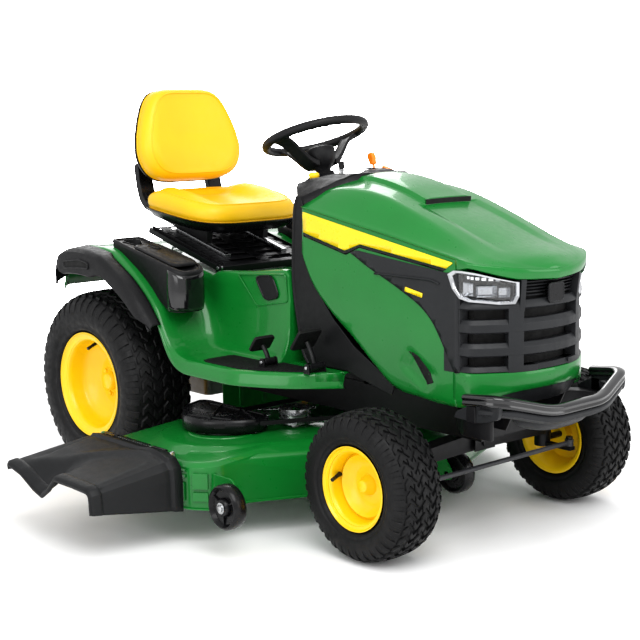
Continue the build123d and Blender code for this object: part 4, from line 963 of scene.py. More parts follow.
def footrest_mats():
    """Ribbed rubber mats on the footrest."""
    parts = []
    for hand, s in SIDES:
        outline = rounded([(x, s * y) for x, y in MAT], 16)
        parts.append(slab(f"mat_{hand}", outline, flat(STEP_Z), 0.5, 3, "chassis", "black_rubber", RUBBER,
                          bevel=1))
        for k in range(17):
            y = 276 + 8.6 * k
            front = curve(MAT_FRONT, y) - 14
            rib = [(520, s * y), (front, s * y), (front, s * (y + 4.2)), (520, s * (y + 4.2))]
            parts.append(slab(f"mat_rib_{hand}_{k}", rounded(rib, 1.5, 2), flat(STEP_Z), 2.5, 5, "chassis",
                              "black_rubber", RUBBER, bevel=0.7))
    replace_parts(join("footrest_mats_ribbed", parts), "footrest_mats")


def body_window():
    """Black rounded slot inside a pressed trapezoid on each body side."""
    for hand, s in SIDES:
        frame_line = rounded([(482, 686), (706, 704), (716, 622), (572, 596)], [6, 10, 12, 14], 4)
        path = [(x, s * (BODY_Y + 0.5), z) for x, z in frame_line]
        tube(f"window_press_{hand}", path, 2.2, "chassis", "green_panel", GREEN, sides=8, closed=True)
        slot = rounded([(566, 686), (646, 696), (680, 632), (612, 616)], 22, 6)
        slab(f"window_slot_{hand}", slot, upright(s * (BODY_Y - 0.5), s), 0, 3.5, "chassis", "black_plastic",
             PLASTIC, bevel=1.2)
        rim_line = [(x, s * (BODY_Y + 2.5), z) for x, z in slot]
        tube(f"window_rim_{hand}", rim_line, 2.4, "chassis", "black_plastic", SMOOTH, sides=8, closed=True)


# ------------------------------------------------------ trays, tank, extensions
TRAY_TOP = [(8, 772), (25, 779), (130, 759), (368, 712), (396, 700), (412, 690)]
TRAY_PLAN = [(16, 291), (398, 300), (408, 423), (16, 408)]
TRAY_MIDDLE = (210, 355)
CUP, CUP_R = (78, 352), 40
TRAY_FRONT_X = 346  # the glossy front starts here


def tray(hand, s):
    """Moulded fender tray: walls, raised border and a sunken floor round the cup holder."""
    plan = rounded(TRAY_PLAN, [24, 50, 56, 24], 8)
    cup_x, cup_y = CUP[0], s * CUP[1]

    def ring(inset, height):
        """Plan line moved inward; height gives z at a point."""
        points = []
        for x, y in plan:
            px = x + (TRAY_MIDDLE[0] - x) * inset / 200
            py = y + (TRAY_MIDDLE[1] - y) * inset / 62
            points.append((px, s * py, height(px)))
        return points

    def top(x):
        return curve(TRAY_TOP, x)

    def foot(x):
        return max(curve(ARCH, x) + 1, 573) if x < 345 else 573

    rows = [ring(3, foot), ring(1.5, lambda x: 0.5 * (foot(x) + top(x))), ring(0, lambda x: top(x) - 10),
            ring(1, lambda x: top(x) - 4), ring(4, lambda x: top(x) - 0.5), ring(8, top),
            ring(11, lambda x: top(x) - 1), ring(12.5, lambda x: top(x) - 6)]
    parts = [grid(f"tray_wall_{hand}", rows, "chassis", "black_plastic", PLASTIC, wrap_columns=True,
                  angle=50)]
    # Floor of the tray with the round well in it: rings from the border in to the well.
    border = ring(12.5, lambda x: top(x) - 6)
    away = []
    for x, y, _ in border:
        reach = hypot(x - cup_x, y - cup_y)
        away.append(((x - cup_x) / reach * CUP_R, (y - cup_y) / reach * CUP_R))
    rim_z = [top(cup_x + u) for u, v in away]
    rows = [border]
    rows += [[(cup_x + u, cup_y + v, z - drop) for (u, v), z in zip(away, rim_z)] for drop in (6, 3)]
    rows.append([(cup_x + 0.93 * u, cup_y + 0.93 * v, z - 3) for (u, v), z in zip(away, rim_z)])
    rows.append([(cup_x + 0.86 * u, cup_y + 0.86 * v, top(cup_x) - 38) for u, v in away])
    parts.append(grid(f"tray_floor_{hand}", rows, "chassis", "black_plastic", PLASTIC, wrap_columns=True,
                      angle=50))
    parts.append(piece(f"tray_well_{hand}", rows[-1], [tuple(range(len(away)))], "chassis", "black_plastic",
                       PLASTIC))
    # Glossy rounded front of the tray, proud of the moulding.
    turn = [p for p in rounded(TRAY_PLAN, [24, 50, 56, 24], 12) if p[0] > TRAY_FRONT_X]
    glossy = []
    for share in span(0, 1, 9):
        row = []
        for x, y in turn:
            z = 577 + share * (top(x) - 10 - 577)
            bulge = 3.5 * sin(pi * share) + 1
            row.append((x + bulge * (x - 350) / 58, s * (y + bulge * (y - 355) / 68), z))
        glossy.append(row)
    parts.append(thick(grid(f"tray_front_{hand}", glossy, "chassis", "black_plastic", BLACK_GLOSS), 2, 0))
    return join(f"tray_{hand}", parts)


def storage():
    """Trays on both fenders, the hinged lid, and the fuel cap in the left tray."""
    trays = [tray(hand, s) for hand, s in SIDES]
    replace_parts(trays[0], "storage_trays")
    top = [(135, 761), (366, 716)]
    slope = (top[1][1] - top[0][1]) / (top[1][0] - top[0][0])
    plan = rounded([(135, -402), (368, -408), (364, -306), (135, -302)], [22, 34, 34, 22], 7)

    def on_lid(u, v, d):
        crown = 5 * (1 - ((v + 355) / 57) ** 2) * (1 - ((u - 250) / 120) ** 2)
        return (u, v, top[0][1] + slope * (u - 135) + d + crown)

    rings = []
    for inset, height in ((2, -6), (0, -4), (0, 0.5), (3, 3.5), (12, 4.5), (14, 3), (16, 3), (19, 5),
                          (40, 6)):
        row = []
        for x, y in plan:
            px, py = x + (250 - x) * inset / 116, y + (-355 - y) * inset / 52
            row.append(on_lid(px, py, height))
        rings.append(row)
    lid_parts = [grid("lid_shell", rings, "storage_lid", "black_plastic", PLASTIC, wrap_columns=True,
                      angle=40, caps=True)]
    # The latch slot is a plate in painted shade black, standing in for the shade in the finger recess.
    latch = rectangle(44, 16, 7, 192, -355)
    lid_parts.append(slab("lid_slot", latch, on_lid, 4, 6.5, "storage_lid", "black_plastic", PAINTED_SHADE, bevel=1))
    edge = [on_lid(x, y, 7) for x, y in rectangle(50, 21, 9, 192, -355)]
    lid_parts.append(tube("lid_slot_rim", edge, 1.8, "storage_lid", "black_plastic", SMOOTH, sides=8,
                          closed=True))
    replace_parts(join("storage_lid_shell", lid_parts), "storage_lid")
    low, high = node_box("fuel_cap")
    x, y = (low.x + high.x) / 2, (low.y + high.y) / 2
    profile = [(0, 30), (0, 34), (5, 35), (20, 34), (25, 30), (26, 22), (25, 10), (25, 0)]
    parts = [lathe("fuel_cap_body", profile, (x, y, low.z), "fuel_cap", "black_plastic", PLASTIC, axis="z")]
    for k, turn in enumerate(turns(20)):
        rib = [(x + 34.5 * cos(turn), y + 34.5 * sin(turn), low.z + 4),
               (x + 33.5 * cos(turn), y + 33.5 * sin(turn), low.z + 20)]
        parts.append(tube(f"fuel_cap_rib_{k}", rib, 2.2, "fuel_cap", "black_plastic", PLASTIC, sides=6))
    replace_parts(join("fuel_cap_whole", parts), "fuel_cap")


FLARE = [(-186, 640), (-184, 690), (-168, 726), (-130, 744), (-80, 750), (-20, 750), (40, 744), (90, 733),
         (152, 702), (200, 676), (242, 647), (285, 612), (320, 574), (352, 538)]


def extensions():
    """Black flared extensions: a wide shelf behind, a pocket in its side, and a folded lower lip."""
    parts = []
    for hand, s in SIDES:
        rows = []
        for x, z, _ in smooth_path([(x, z, 0) for x, z in FLARE], 4):
            shelf = 1 - steady(x, 10, 110)
            tip = steady(x, -190, -150) * (1 - steady(x, 270, 352))
            drop = 14 + 44 * tip + 24 * shelf * steady(x, -186, -120)
            reach = 497 + 6 * tip
            inner = 452 - 46 * shelf * steady(x, -186, -140)
            fold = 10 + 8 * shelf
            rows.append([(x, s * inner, z + 4 * shelf), (x, s * (inner + 8), z + 5 * shelf),
                         (x, s * (reach - fold - 8), z - 2), (x, s * (reach - fold), z - 5),
                         (x, s * (reach - 3), z - 13), (x + 1, s * reach, z - 20),
                         (x + 2, s * (reach + 1), z - drop), (x + 2, s * (reach - 5), z - drop - 4),
                         (x + 2, s * (reach - 9), z - drop - 2)])
        flare = grid(f"flare_{hand}", rows, "chassis", "black_plastic", PLASTIC, angle=38)
        parts.append(thick(flare, 3))
        # The pocket is a flat plate in painted shade black under a raised brow; the black stands in for the
        # shade inside the pocket.
        pocket = rounded([(-118, 704), (-20, 716), (26, 708), (30, 690), (-16, 690), (-112, 682)], 6, 4)
        parts.append(slab(f"flare_pocket_{hand}", pocket, upright(s * 501, s), 0, 4, "chassis",
                          "black_plastic", PAINTED_SHADE))
        brow = [(x, s * 505, z) for x, z in pocket]
        parts.append(tube(f"flare_brow_{hand}", brow, 3.2, "chassis", "black_plastic", PLASTIC, sides=8,
                          closed=True))
    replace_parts(join("fender_flares", parts), "fender_extensions")


fender_sheet()
pedal_base()
for pedal in PEDALS:
    foot_pedal(*pedal)
footrest_mats()
body_window()
storage()
extensions()


# ----------------------------------------------------------------------- seat
SEAT_X, SEAT_LONG, SEAT_WIDE = 90, 392, 442
SEAT_SIDES, SEAT_CREST = 96, 64  # points round the cushion, and height of its edge


def plan_ring(length, width, power, count):
    """Plan of the seat, with its front corners pulled in."""
    return [(length / 2 * u, width / 2 * v * (1 - 0.05 * max(u, 0) ** 2))
            for u, v in superellipse(count, power, power)]


def seat_level(x):
    """Height of the cushion's lower edge at x: it falls towards the front."""
    return 849 - 0.13 * (x - SEAT_X)


def side_height(x):
    """Share of the cushion's full thickness at x: lower behind, a little lower in front."""
    return 1 - 0.12 * steady(x, 90, 280) - 0.3 * steady(-x, -40, 95)


def cushion_line(share, rise):
    """Line round the side of the cushion."""
    line = []
    for u, v in plan_ring(SEAT_LONG, SEAT_WIDE, 4.2, SEAT_SIDES):
        x = SEAT_X + u * share
        line.append((x, v * share, seat_level(x) + rise * side_height(x)))
    return line


def cushion():
    """Crowned cushion with side bolsters, a rear roll, a sewn edge and piping."""
    profile = [(0.8, -26), (0.93, -18), (0.985, -6), (0.99, -1), (0.965, 2), (0.985, 5), (1.0, 18), (1.0, 34),
               (0.985, 47), (0.955, 57), (0.91, SEAT_CREST)]
    rings = [cushion_line(share, rise) for share, rise in profile]
    for share in (0.86, 0.8, 0.72, 0.64, 0.56, 0.48, 0.4, 0.3, 0.2, 0.1, 0.02):
        ring = []
        for u, v in plan_ring(SEAT_LONG, SEAT_WIDE, 3.6, SEAT_SIDES):
            x, y = SEAT_X + u * share, v * share
            rear = steady(-x, -10, 110)
            side = steady(abs(y), 70, 165)
            front = steady(x, 100, 235)
            dip = 24 * (1 - side) * (1 - 0.5 * front)
            middle = 1 - 0.6 * front - 0.4 * rear
            ring.append((x, y, seat_level(x) + SEAT_CREST * side_height(x) - dip * min(1, (0.9 - share) * 5)
                         + 15 * side * middle * min(1, (0.9 - share) * 8)))
        rings.append(ring)
    parts = [grid("seat_cushion_form", rings, "seat", "seat_vinyl", VINYL, wrap_columns=True, caps=True,
                  angle=70)]
    for share, rise, radius in ((0.968, 1.5, 2.6), (0.905, SEAT_CREST + 0.5, 2.2)):
        parts.append(tube(f"seat_piping_{rise}", cushion_line(share, rise), radius, "seat", "seat_vinyl",
                          VINYL, sides=8, closed=True))
    whole = join("seat_cushion_soft", parts)
    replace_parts(whole, "seat_cushion")


BACK_FOOT, BACK_LEAN = Vector((-114, 0, 943)), radians(10.5)
BACK_HALF, BACK_REACH = 208, 158
BACK_UP = Vector((-sin(BACK_LEAN), 0, cos(BACK_LEAN)))
BACK_OUT = Vector((cos(BACK_LEAN), 0, sin(BACK_LEAN)))


def on_back(u, v, d):
    """Point on the backrest: across, up from its foot, and forward of its back."""
    wrap = 10 * (u / 190) ** 2
    return tuple(BACK_FOOT + Vector((0, u, 0)) + BACK_UP * v + BACK_OUT * (d + wrap))


def back_ring(share, count=SEAT_SIDES):
    """Outline of the backrest, narrower at its top and foot than in the middle."""
    points = []
    for u, v in superellipse(count, 4.6, 4.4):
        wide = BACK_HALF - 54 * steady(v, -0.35, 1.1) - 12 * steady(-v, 0.4, 1)
        points.append((u * wide * share, BACK_REACH + BACK_REACH * v * share))
    return points


def backrest():
    """Crowned backrest with a hollow middle and piped edges."""
    profile = [(0.86, 4), (0.96, 6), (1.0, 14), (0.985, 19), (1.0, 25), (1.0, 44), (0.985, 56), (0.955, 66),
               (0.92, 72), (0.88, 76)]
    rings = [[on_back(u, v, depth) for u, v in back_ring(share)] for share, depth in profile]
    for share in (0.82, 0.74, 0.66, 0.58, 0.5, 0.42, 0.33, 0.24, 0.15, 0.04):
        ring = []
        for u, v in back_ring(share):
            hollow = 9 * (1 - (abs(u) / 150) ** 2) if abs(u) < 150 else 0
            lumbar = 9 * (1 - min(1, abs(v - 85) / 70) ** 2)
            ring.append(on_back(u, v, 79 - 0.8 * hollow + 0.6 * lumbar))
        rings.append(ring)
    parts = [grid("seat_back_form", rings, "seat", "seat_vinyl", VINYL, wrap_columns=True, caps=True,
                  angle=70)]
    for share, depth, radius in ((0.99, 19, 2.6), (0.88, 76, 2.2)):
        line = [on_back(u, v, depth) for u, v in back_ring(share)]
        parts.append(tube(f"seat_back_piping_{depth}", line, radius, "seat", "seat_vinyl", VINYL, sides=8,
                          closed=True))
    whole = join("seat_back_soft", parts)
    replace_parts(whole, "seat_backrest")


def seat_shell():
    """Black shell: pan under the cushion, back shell, its two ribbed brackets and slide feet."""
    rings = []
    profile = [(0.5, -43), (0.72, -42), (0.84, -36), (0.93, -25), (0.985, -9), (1.008, -3), (1.012, 1),
               (0.99, 2), (0.97, -4)]
    for share, rise in profile:
        ring = []
        for u, v in plan_ring(SEAT_LONG + 14, SEAT_WIDE + 8, 4.0, 72):
            x = SEAT_X + u * share
            ring.append((x, v * share, seat_level(x) + rise))
        rings.append(ring)
    parts = [grid("seat_tub", rings, "seat", "black_plastic", SMOOTH, wrap_columns=True, angle=50),
             piece("seat_tub_floor", rings[0], [tuple(range(72))], "seat", "black_plastic", SMOOTH)]
    profile = ((0.5, -12), (0.8, -12), (0.93, -8), (1.0, 0), (1.02, 8), (1.02, 12), (0.99, 13))
    rings = [[on_back(u, v, depth) for u, v in back_ring(share, 72)] for share, depth in profile]
    parts.append(grid("seat_back_tub", rings, "seat", "black_plastic", SMOOTH, wrap_columns=True, angle=50,
                      caps=True))
    side = [(-70, 842), (-120, 856), (-150, 884), (-166, 930), (-178, 1000), (-166, 1012), (-150, 1006),
            (-146, 950), (-134, 908), (-108, 880), (-64, 862)]
    foot = [(-60, 813), (170, 751.5), (178, 800), (-52, 840)]
    rib = [(-112, 883), (-138, 912), (-149, 950), (-154, 1000)]
    for hand, s in SIDES:
        parts.append(slab(f"seat_bracket_{hand}", rounded(side, 12, 4), upright(s * 118, s), 0, 58, "seat",
                          "black_plastic", SMOOTH, bevel=3))
        for k in range(3):
            path = [(x, s * (130 + 16 * k), z) for x, z in rib]
            parts.append(tube(f"seat_bracket_rib_{hand}_{k}", smooth_path(path, 5), 3.2, "seat",
                              "black_plastic", SMOOTH, sides=8))
        parts.append(slab(f"seat_foot_{hand}", foot, upright(s * 120, s), -11, 11, "seat", "frame_black",
                          SOOT, bevel=1.5))
    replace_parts(join("seat_shell_whole", parts), "seat_shell")


PAN_SIZE, PAN_HALF, PAN_SHEET, PAN_EDGE = 410, 205, 3, 8
SPRING_SIZE, SPRING_TURNS, SPRING_SIDES = (17.5, 56), 6, 16  # radius and height


def seat_pan():
    """Slotted pan with rolled edges, slide rails, hinge pins, their ears and the springs."""
    hinge_x, hinge_z, slope = 335, 690, radians(15)

    def on_pan(u, v, d):
        return (hinge_x - u * cos(slope) + d * sin(slope), v, hinge_z + u * sin(slope) + d * cos(slope))

    parts = []
    for n, (v0, v1) in enumerate(((-PAN_HALF, -190), (190, PAN_HALF), (-20, 20))):
        edge = [(PAN_EDGE, v0), (PAN_SIZE - PAN_EDGE, v0), (PAN_SIZE - PAN_EDGE, v1), (PAN_EDGE, v1)]
        parts.append(slab(f"pan_strip_{n}", edge, on_pan, 0, PAN_SHEET, "seat_pan", "frame_black", SOOT,
                          bevel=0.8))
    for k in range(9):
        u = PAN_EDGE + 47.4 * k
        wide = 15 if k in (0, 8) else 21
        edge = rounded([(u, -PAN_HALF), (u + wide, -PAN_HALF), (u + wide, PAN_HALF), (u, PAN_HALF)], 1, 1)
        parts.append(slab(f"pan_bar_{k}", edge, on_pan, 0, PAN_SHEET, "seat_pan", "frame_black", SOOT,
                          bevel=0.8))
        for sign in (-1, 1) if k < 8 else ():
            web = rectangle(30, 42, 6, u + 30, sign * 150, 3)
            parts.append(slab(f"pan_web_{k}_{sign}", web, on_pan, 0, PAN_SHEET, "seat_pan", "frame_black",
                              SOOT, bevel=0.8))
    for hand, s in SIDES:
        for n, (v, low, high, reach) in enumerate(((203, -14, 3, 3), (190, 3, 10, 2))):
            edge = [(PAN_EDGE, low), (PAN_SIZE - PAN_EDGE, low), (PAN_SIZE - PAN_EDGE, high),
                    (PAN_EDGE, high)]
            parts.append(slab(f"pan_flange_{hand}_{n}", edge,
                              lambda u, w, d, v=v, s=s: on_pan(u, s * (v + d), w), 0, reach, "seat_pan",
                              "frame_black", SOOT, bevel=0.8))
        rail = rounded([(108, 3), (132, 3), (132, 15), (108, 15)], 2, 2)
        parts.append(slab(f"pan_rail_{hand}", rail, lambda u, w, d, s=s: on_pan(70 + d, s * u, w), 0, 280,
                          "seat_pan", "bright_steel", STEEL, bevel=0.8))
        pin = [(hinge_x, s * 196, hinge_z), (hinge_x, s * 216, hinge_z)]
        parts.append(tube(f"pan_pin_{hand}", pin, 6, "seat_pan", "bright_steel", STEEL, sides=16, bevel=1))
        eye = [(0, 6.5), (0, 13), (4, 13), (4, 6.5)]
        ear = [lathe(f"seat_ear_{hand}", eye, (hinge_x, s * 208, hinge_z), "chassis", "frame_black", SOOT,
                     sign=s, steps=32, closed=True)]
        stalk = [(322, 655), (348, 655), (346, 682), (340, 680), (330, 680), (324, 682)]
        ear.append(slab(f"seat_stalk_{hand}", stalk, upright(s * 208, s), 0, 4, "chassis", "frame_black",
                        SOOT))
        join(f"seat_ear_{hand}_whole", ear)
    liner = rectangle(380, 384, 10, PAN_SIZE / 2, 0)
    parts.append(slab("pan_liner", liner, on_pan, -9, -6, "seat_pan", "frame_black", SOOT, bevel=0.8))
    front = rounded([(0, -20), (0, 3), (8, 3), (8, -20)], 2, 2)
    parts.append(slab("pan_front", front, lambda u, w, d: on_pan(u, d, w), -PAN_HALF, PAN_HALF, "seat_pan",
                      "frame_black", SOOT, bevel=0.8))
    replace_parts(join("seat_pan_whole", parts), "seat_pan")
    springs = []
    radius, height = SPRING_SIZE
    for sign in (-1, 1):
        coil = []
        for t in span(0, SPRING_TURNS, SPRING_TURNS * SPRING_SIDES + 1):
            turn = 2 * pi * t
            coil.append((-25 + radius * cos(turn), sign * 110 + radius * sin(turn),
                         720 + height * t / SPRING_TURNS))
        springs.append(tube(f"spring_{sign}", coil, 2.6, "chassis", "bright_steel", STEEL, sides=8))
    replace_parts(join("seat_spring_coils", springs), "seat_springs")


cushion()
backrest()
seat_shell()
seat_pan()


# ------------------------------------------------------------- dash and controls
COLUMN, TILT = Vector((572, 0, 1104)), radians(19.5)
WHEEL_R, SHAFT_END = 157, -640
THROTTLE = (706, 130)
COLUMN_UP = Vector((-sin(TILT), 0, cos(TILT)))
COLUMN_AHEAD = Vector((cos(TILT), 0, sin(TILT)))


def on_wheel(ahead, left, up):
    """Point about the steering wheel's centre, in its own tilted frame."""
    return COLUMN + COLUMN_AHEAD * ahead + Vector((0, left, 0)) + COLUMN_UP * up


def wheel_ring(radius, height, count=48):
    """Circle about the steering shaft."""
    return [tuple(on_wheel(radius * cos(turn), radius * sin(turn), height)) for turn in turns(count)]


def steering_wheel():
    """Thick moulded rim, three dished spokes with ribs, a deep hub and the steel shaft."""
    parts = [tube("wheel_rim", wheel_ring(WHEEL_R, 0, 96), 13.8, "steering", "black_plastic", PLASTIC,
                  sides=18, closed=True)]
    for n in range(24):
        arc = [on_wheel(WHEEL_R * cos(t), WHEEL_R * sin(t), -11.6)
               for t in span(0.26 * n, 0.26 * n + 0.12, 4)]
        parts.append(tube(f"wheel_grip_{n}", arc, 3.4, "steering", "black_plastic", PLASTIC, sides=8))
    for n, turn in enumerate((90, 180, 270)):
        c, s = cos(radians(turn)), sin(radians(turn))
        rows = []
        for t in span(0, 1, 12):
            reach = WHEEL_R - 5 - 118 * t
            drop = -6 - 72 * steady(t, 0.05, 1.0) - 10 * t
            wide = 25 + 9 * (1 - t) ** 3 + 6 * t ** 2
            deep = 5 + 10 * t
            section = [(-wide, 0), (-wide + 5, 6), (-wide + 9, 2), (wide - 9, 2), (wide - 5, 6), (wide, 0),
                       (wide - 4, -deep), (-wide + 4, -deep)]
            rows.append([tuple(on_wheel(reach * c - w * s, reach * s + w * c, drop + h)) for w, h in section])
        parts.append(grid(f"wheel_spoke_{n}", rows, "steering", "black_plastic", PLASTIC, wrap_columns=True,
                          caps=True, bevel=1.5, angle=30))
    hub = ((0.2, -40), (38, -41), (46, -44), (50, -52), (47, -72), (41, -92), (30, -104), (22, -112),
           (20, -118), (0.2, -118))
    parts.append(grid("wheel_hub", [wheel_ring(r, h) for r, h in hub], "steering", "black_plastic", PLASTIC,
                      wrap_columns=True, caps=True, angle=40))
    cap = ((30, -40), (30, -37), (27, -36), (26, -38), (3, -38))
    parts.append(grid("wheel_cap", [wheel_ring(r, h) for r, h in cap], "steering", "black_plastic", SMOOTH,
                      wrap_columns=True, angle=40))
    shaft = [on_wheel(0, 0, -112), on_wheel(0, 0, SHAFT_END)]
    parts.append(tube("wheel_shaft", shaft, 9.8, "steering", "bright_steel", STEEL, sides=20))
    for h in (-122, -128, -134):
        collar = [on_wheel(0, 0, h), on_wheel(0, 0, h - 4)]
        parts.append(tube(f"wheel_collar_{h}", collar, 14, "steering", "bright_steel", STEEL, sides=20,
                          bevel=1))
    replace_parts(join("steering_wheel_whole", parts), "steering_wheel")


# Rear and front edge of the dash in plan, as (y, x), and the highest z of its top.
COWL_REAR = [(0, 640), (60, 640), (125, 655), (190, 700), (232, 752)]
COWL_FRONT = [(0, 888), (60, 880), (124, 853), (190, 815), (232, 766)]
COWL_TOP, COWL_LOW, COWL_HALF = 1003, 886, 232
PEDESTAL = [(752, 936), (740, 905), (733, 837), (728, 740), (730, 658), (748, 560), (766, 480), (790, 444),
            (955, 444), (1060, 418), (1139, 400), (1150, 436), (1072, 474), (985, 520), (900, 590),
            (830, 668), (792, 740), (786, 830), (775, 905), (764, 936)]
PEDESTAL_REAR = PEDESTAL[:8]


def cowl_height(x, y):
    """Top of the dash: flat in the middle, falling to the sides and to the driver."""
    side = curve([(0, 1000), (104, 1000), (135, 990), (165, 974), (200, 956), (232, 934)], abs(y))
    rear = curve([(636, 938), (660, 956), (700, 978), (740, 996), (770, COWL_TOP), (900, COWL_TOP)], x)
    well = 9 * steady(x, 690, 712) * (1 - steady(x, 836, 858)) * (1 - steady(abs(y), 128, 150))
    hump = 16 * steady(y, 30, 70) * (1 - steady(y, 150, 185))
    hump *= steady(x, 660, 690) * (1 - steady(x, 770, 800))
    return min(min(side, rear) - well * 0.6 + hump, COWL_TOP)


def dash():
    """Dash top, its walls, and the sides and back of the pedestal."""
    ys = span(-COWL_HALF, COWL_HALF, 59)
    rows = []
    for t in span(0, 1, 25):
        row = []
        for y in ys:
            rear, front = curve(COWL_REAR, abs(y)), curve(COWL_FRONT, abs(y))
            x = rear + (front - rear) * t
            row.append((x, y, cowl_height(x, y)))
        rows.append(row)
    parts = [thick(grid("dash_top", rows, "chassis", "black_plastic", PLASTIC, angle=40), 4)]
    walls = []
    for z_share in span(0, 1, 5):
        row = []
        for y in ys:
            rear = curve(COWL_REAR, abs(y))
            row.append((rear + 6 * (1 - z_share), y, COWL_LOW + (cowl_height(rear, y) - COWL_LOW) * z_share))
        walls.append(row)
    parts.append(thick(grid("dash_rear", walls, "chassis", "black_plastic", PLASTIC, angle=40), 4))
    wall_front = []
    for z in (COWL_LOW, 1000):
        fronts = [(curve(COWL_FRONT, abs(y)), y) for y in ys]
        wall_front.append([(x, y, min(z, cowl_height(x, y))) for x, y in fronts])
    parts.append(thick(grid("dash_front", wall_front, "chassis", "black_plastic", PLASTIC, angle=40), 4))
    for hand, s in SIDES:
        parts.append(slab(f"pedestal_{hand}", rounded(PEDESTAL, 8, 3), upright(s * 226, s), 0, 6, "chassis",
                          "black_plastic", PLASTIC, bevel=2))
        rear_edge = [(x - 2, s * 230, z) for x, z in PEDESTAL_REAR]
        parts.append(tube(f"pedestal_bead_{hand}", smooth_path(rear_edge, 5), 5.5, "chassis",
                          "black_plastic", PLASTIC, sides=10))
    back = []
    half = 228
    for x, z, _ in smooth_path([(x, z, 0) for x, z in PEDESTAL_REAR], 4):
        back.append([(x + 1 - 10 * (1 - (y / half) ** 2) * steady(z, 620, 800), y, z)
                     for y in span(-half, half, 13)])
    parts.append(thick(grid("pedestal_back", back, "chassis", "black_plastic", PLASTIC, angle=40), 4))
    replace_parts(join("dash_moulding", parts), "dash_console")


def column_shroud():
    """Boot under the hub and the faceted shroud that rises to it."""
    rings = []
    for z, x0, x1, wide in ((936, 566, 716, 84), (950, 570, 706, 76), (966, 578, 690, 62),
                            (984, 590, 668, 44), (990, 596, 660, 36)):
        loop = rounded([(x0, -wide), (x1, -wide), (x1, wide), (x0, wide)], 16, 4)
        rings.append([(x, y, z) for x, y in loop])
    parts = [grid("shroud_form", rings, "chassis", "frame_black", PLASTIC, wrap_columns=True, caps=True,
                  angle=40)]
    rings = []
    for k in range(9):
        h = -118 - 5 * k
        rings.append(wheel_ring(27 + 2 * k + (3 if k % 2 else -1), h, 40))
    parts.append(grid("shroud_boot", rings, "chassis", "frame_black", RUBBER, wrap_columns=True, angle=60))
    sleeve = [on_wheel(0, 0, -170), on_wheel(0, 0, SHAFT_END)]
    parts.append(tube("column_tube", sleeve, 24, "chassis", "frame_black", SOOT, sides=28))
    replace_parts(join("column_whole", parts), "steering_column")


def controls():
    """Throttle lever, its slot plate, the blade knob and the key switch."""
    x, y = THROTTLE
    stem = smooth_path([(x, y, 962), (x - 3, y, 990), (x - 9, y, 1022)], 5)
    parts = [tube("throttle_stem", stem, 4.6, "throttle", "orange_plastic", ORANGE, sides=12, flatten=0.7)]
    paddle = rounded([(690, 1012), (704, 1014), (703, 1040), (694, 1052), (679, 1050), (675, 1038)], 5, 4)
    parts.append(slab("throttle_paddle", paddle, upright(y), -9, 9, "throttle", "orange_plastic", ORANGE,
                      bevel=3.5, segments=3))
    hub = [(x, y - 6, 960), (x, y + 6, 960)]
    parts.append(tube("throttle_hub", hub, 9, "throttle", "orange_plastic", ORANGE, sides=20, bevel=1))
    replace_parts(join("throttle_whole", parts), "throttle_lever")
    slab("throttle_plate", rectangle(74, 30, 8, x, y), flat(1000), 0, 4, "chassis", "black_plastic", SMOOTH,
         bevel=1.2)
    # The slot in the plate is a thin sheet in painted shade black, standing in for the shade in the opening.
    slab("throttle_slot", rectangle(58, 9, 4, x, y), flat(1003.2), 0, 1.2, "chassis", "black_plastic", PAINTED_SHADE)
    tab_x = 724
    tab = rounded([(tab_x, 138), (tab_x + 32, 138), (tab_x + 32, 158), (tab_x, 158)], 4, 3)
    slab("choke_tab", tab, lambda u, v, d: (u, v, 1002 + d - 0.32 * (u - tab_x)), 0, 9, "chassis",
         "orange_plastic", ORANGE, bevel=2)
    low, high = node_box("pto_knob")
    x, y = (low.x + high.x) / 2, (low.y + high.y) / 2
    knob = [(-24, 0), (-24, 5), (-8, 5), (-6, 11), (-2, 15), (6, 16.5), (12, 15), (15, 9), (15.5, 0)]
    whole = lathe("pto_knob_turned", knob, (x, y, high.z - 16), "pto_knob", "knob_yellow", KNOB, axis="z",
                  steps=36, angle=50)
    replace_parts(whole, "pto_knob")
    collar = [(0, 12), (0, 22), (4, 21), (6, 17), (6, 12)]
    lathe("pto_collar", collar, (x, y, cowl_height(x, y) - 2), "chassis", "black_plastic", SMOOTH, axis="z",
          steps=36, closed=True)
    low, high = node_box("ignition_key")
    x, y = (low.x + high.x) / 2, (low.y + high.y) / 2
    bow = rounded([(y - 12, high.z - 26), (y + 12, high.z - 26), (y + 11, high.z - 2), (y - 11, high.z - 2)],
                  7)
    parts = [slab("key_bow", bow, lambda u, v, d: (x + d, u, v), -2.4, 2.4, "key", "bright_steel", PLASTIC,
                  bevel=1)]
    parts.append(tube("key_barrel", [(x, y, low.z), (x, y, high.z - 27)], 7.8, "key", "bright_steel", STEEL,
                      sides=24, bevel=0.8))
    parts.append(tube("key_collar", [(x, y, high.z - 30), (x, y, high.z - 26)], 12.6, "key",
                      "bright_steel", STEEL, sides=24, bevel=1))
    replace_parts(join("key_whole", parts), "ignition_key")


steering_wheel()
dash()
column_shroud()
controls()


# ---------------------------------------------------------------- mowing deck
SPINDLES = ((640, 440), (845, 0), (640, -440))
TENSIONER = (733, -240)
GAUGE_WHEELS = (("left", 975, 690), ("right", 975, -690), ("front", 1165, 0))
GAUGE_Z = 142
CHUTE_HINGE = (-706, 247)


def hull_ring(radius):
    """Outline round the three spindles at a distance, in plan."""
    ring = []
    for turn in turns(120):
        x, y = max(SPINDLES, key=lambda c: c[0] * cos(turn) + c[1] * sin(turn))
        ring.append((x + radius * cos(turn), y + radius * sin(turn)))
    return ring


def carved(base, tools):
    """Combine a piece with others; tools are (operation, piece) pairs."""
    for operation, tool in tools:
        step = base.modifiers.new(operation, "BOOLEAN")
        step.object, step.operation, step.solver = tool, operation, "EXACT"
    name = base.name
    whole = join(name, [base])
    for _, tool in tools:
        bpy.data.objects.remove(tool)
    whole.data.shade_smooth()
    whole.data.set_sharp_from_angle(angle=radians(28))
    return whole


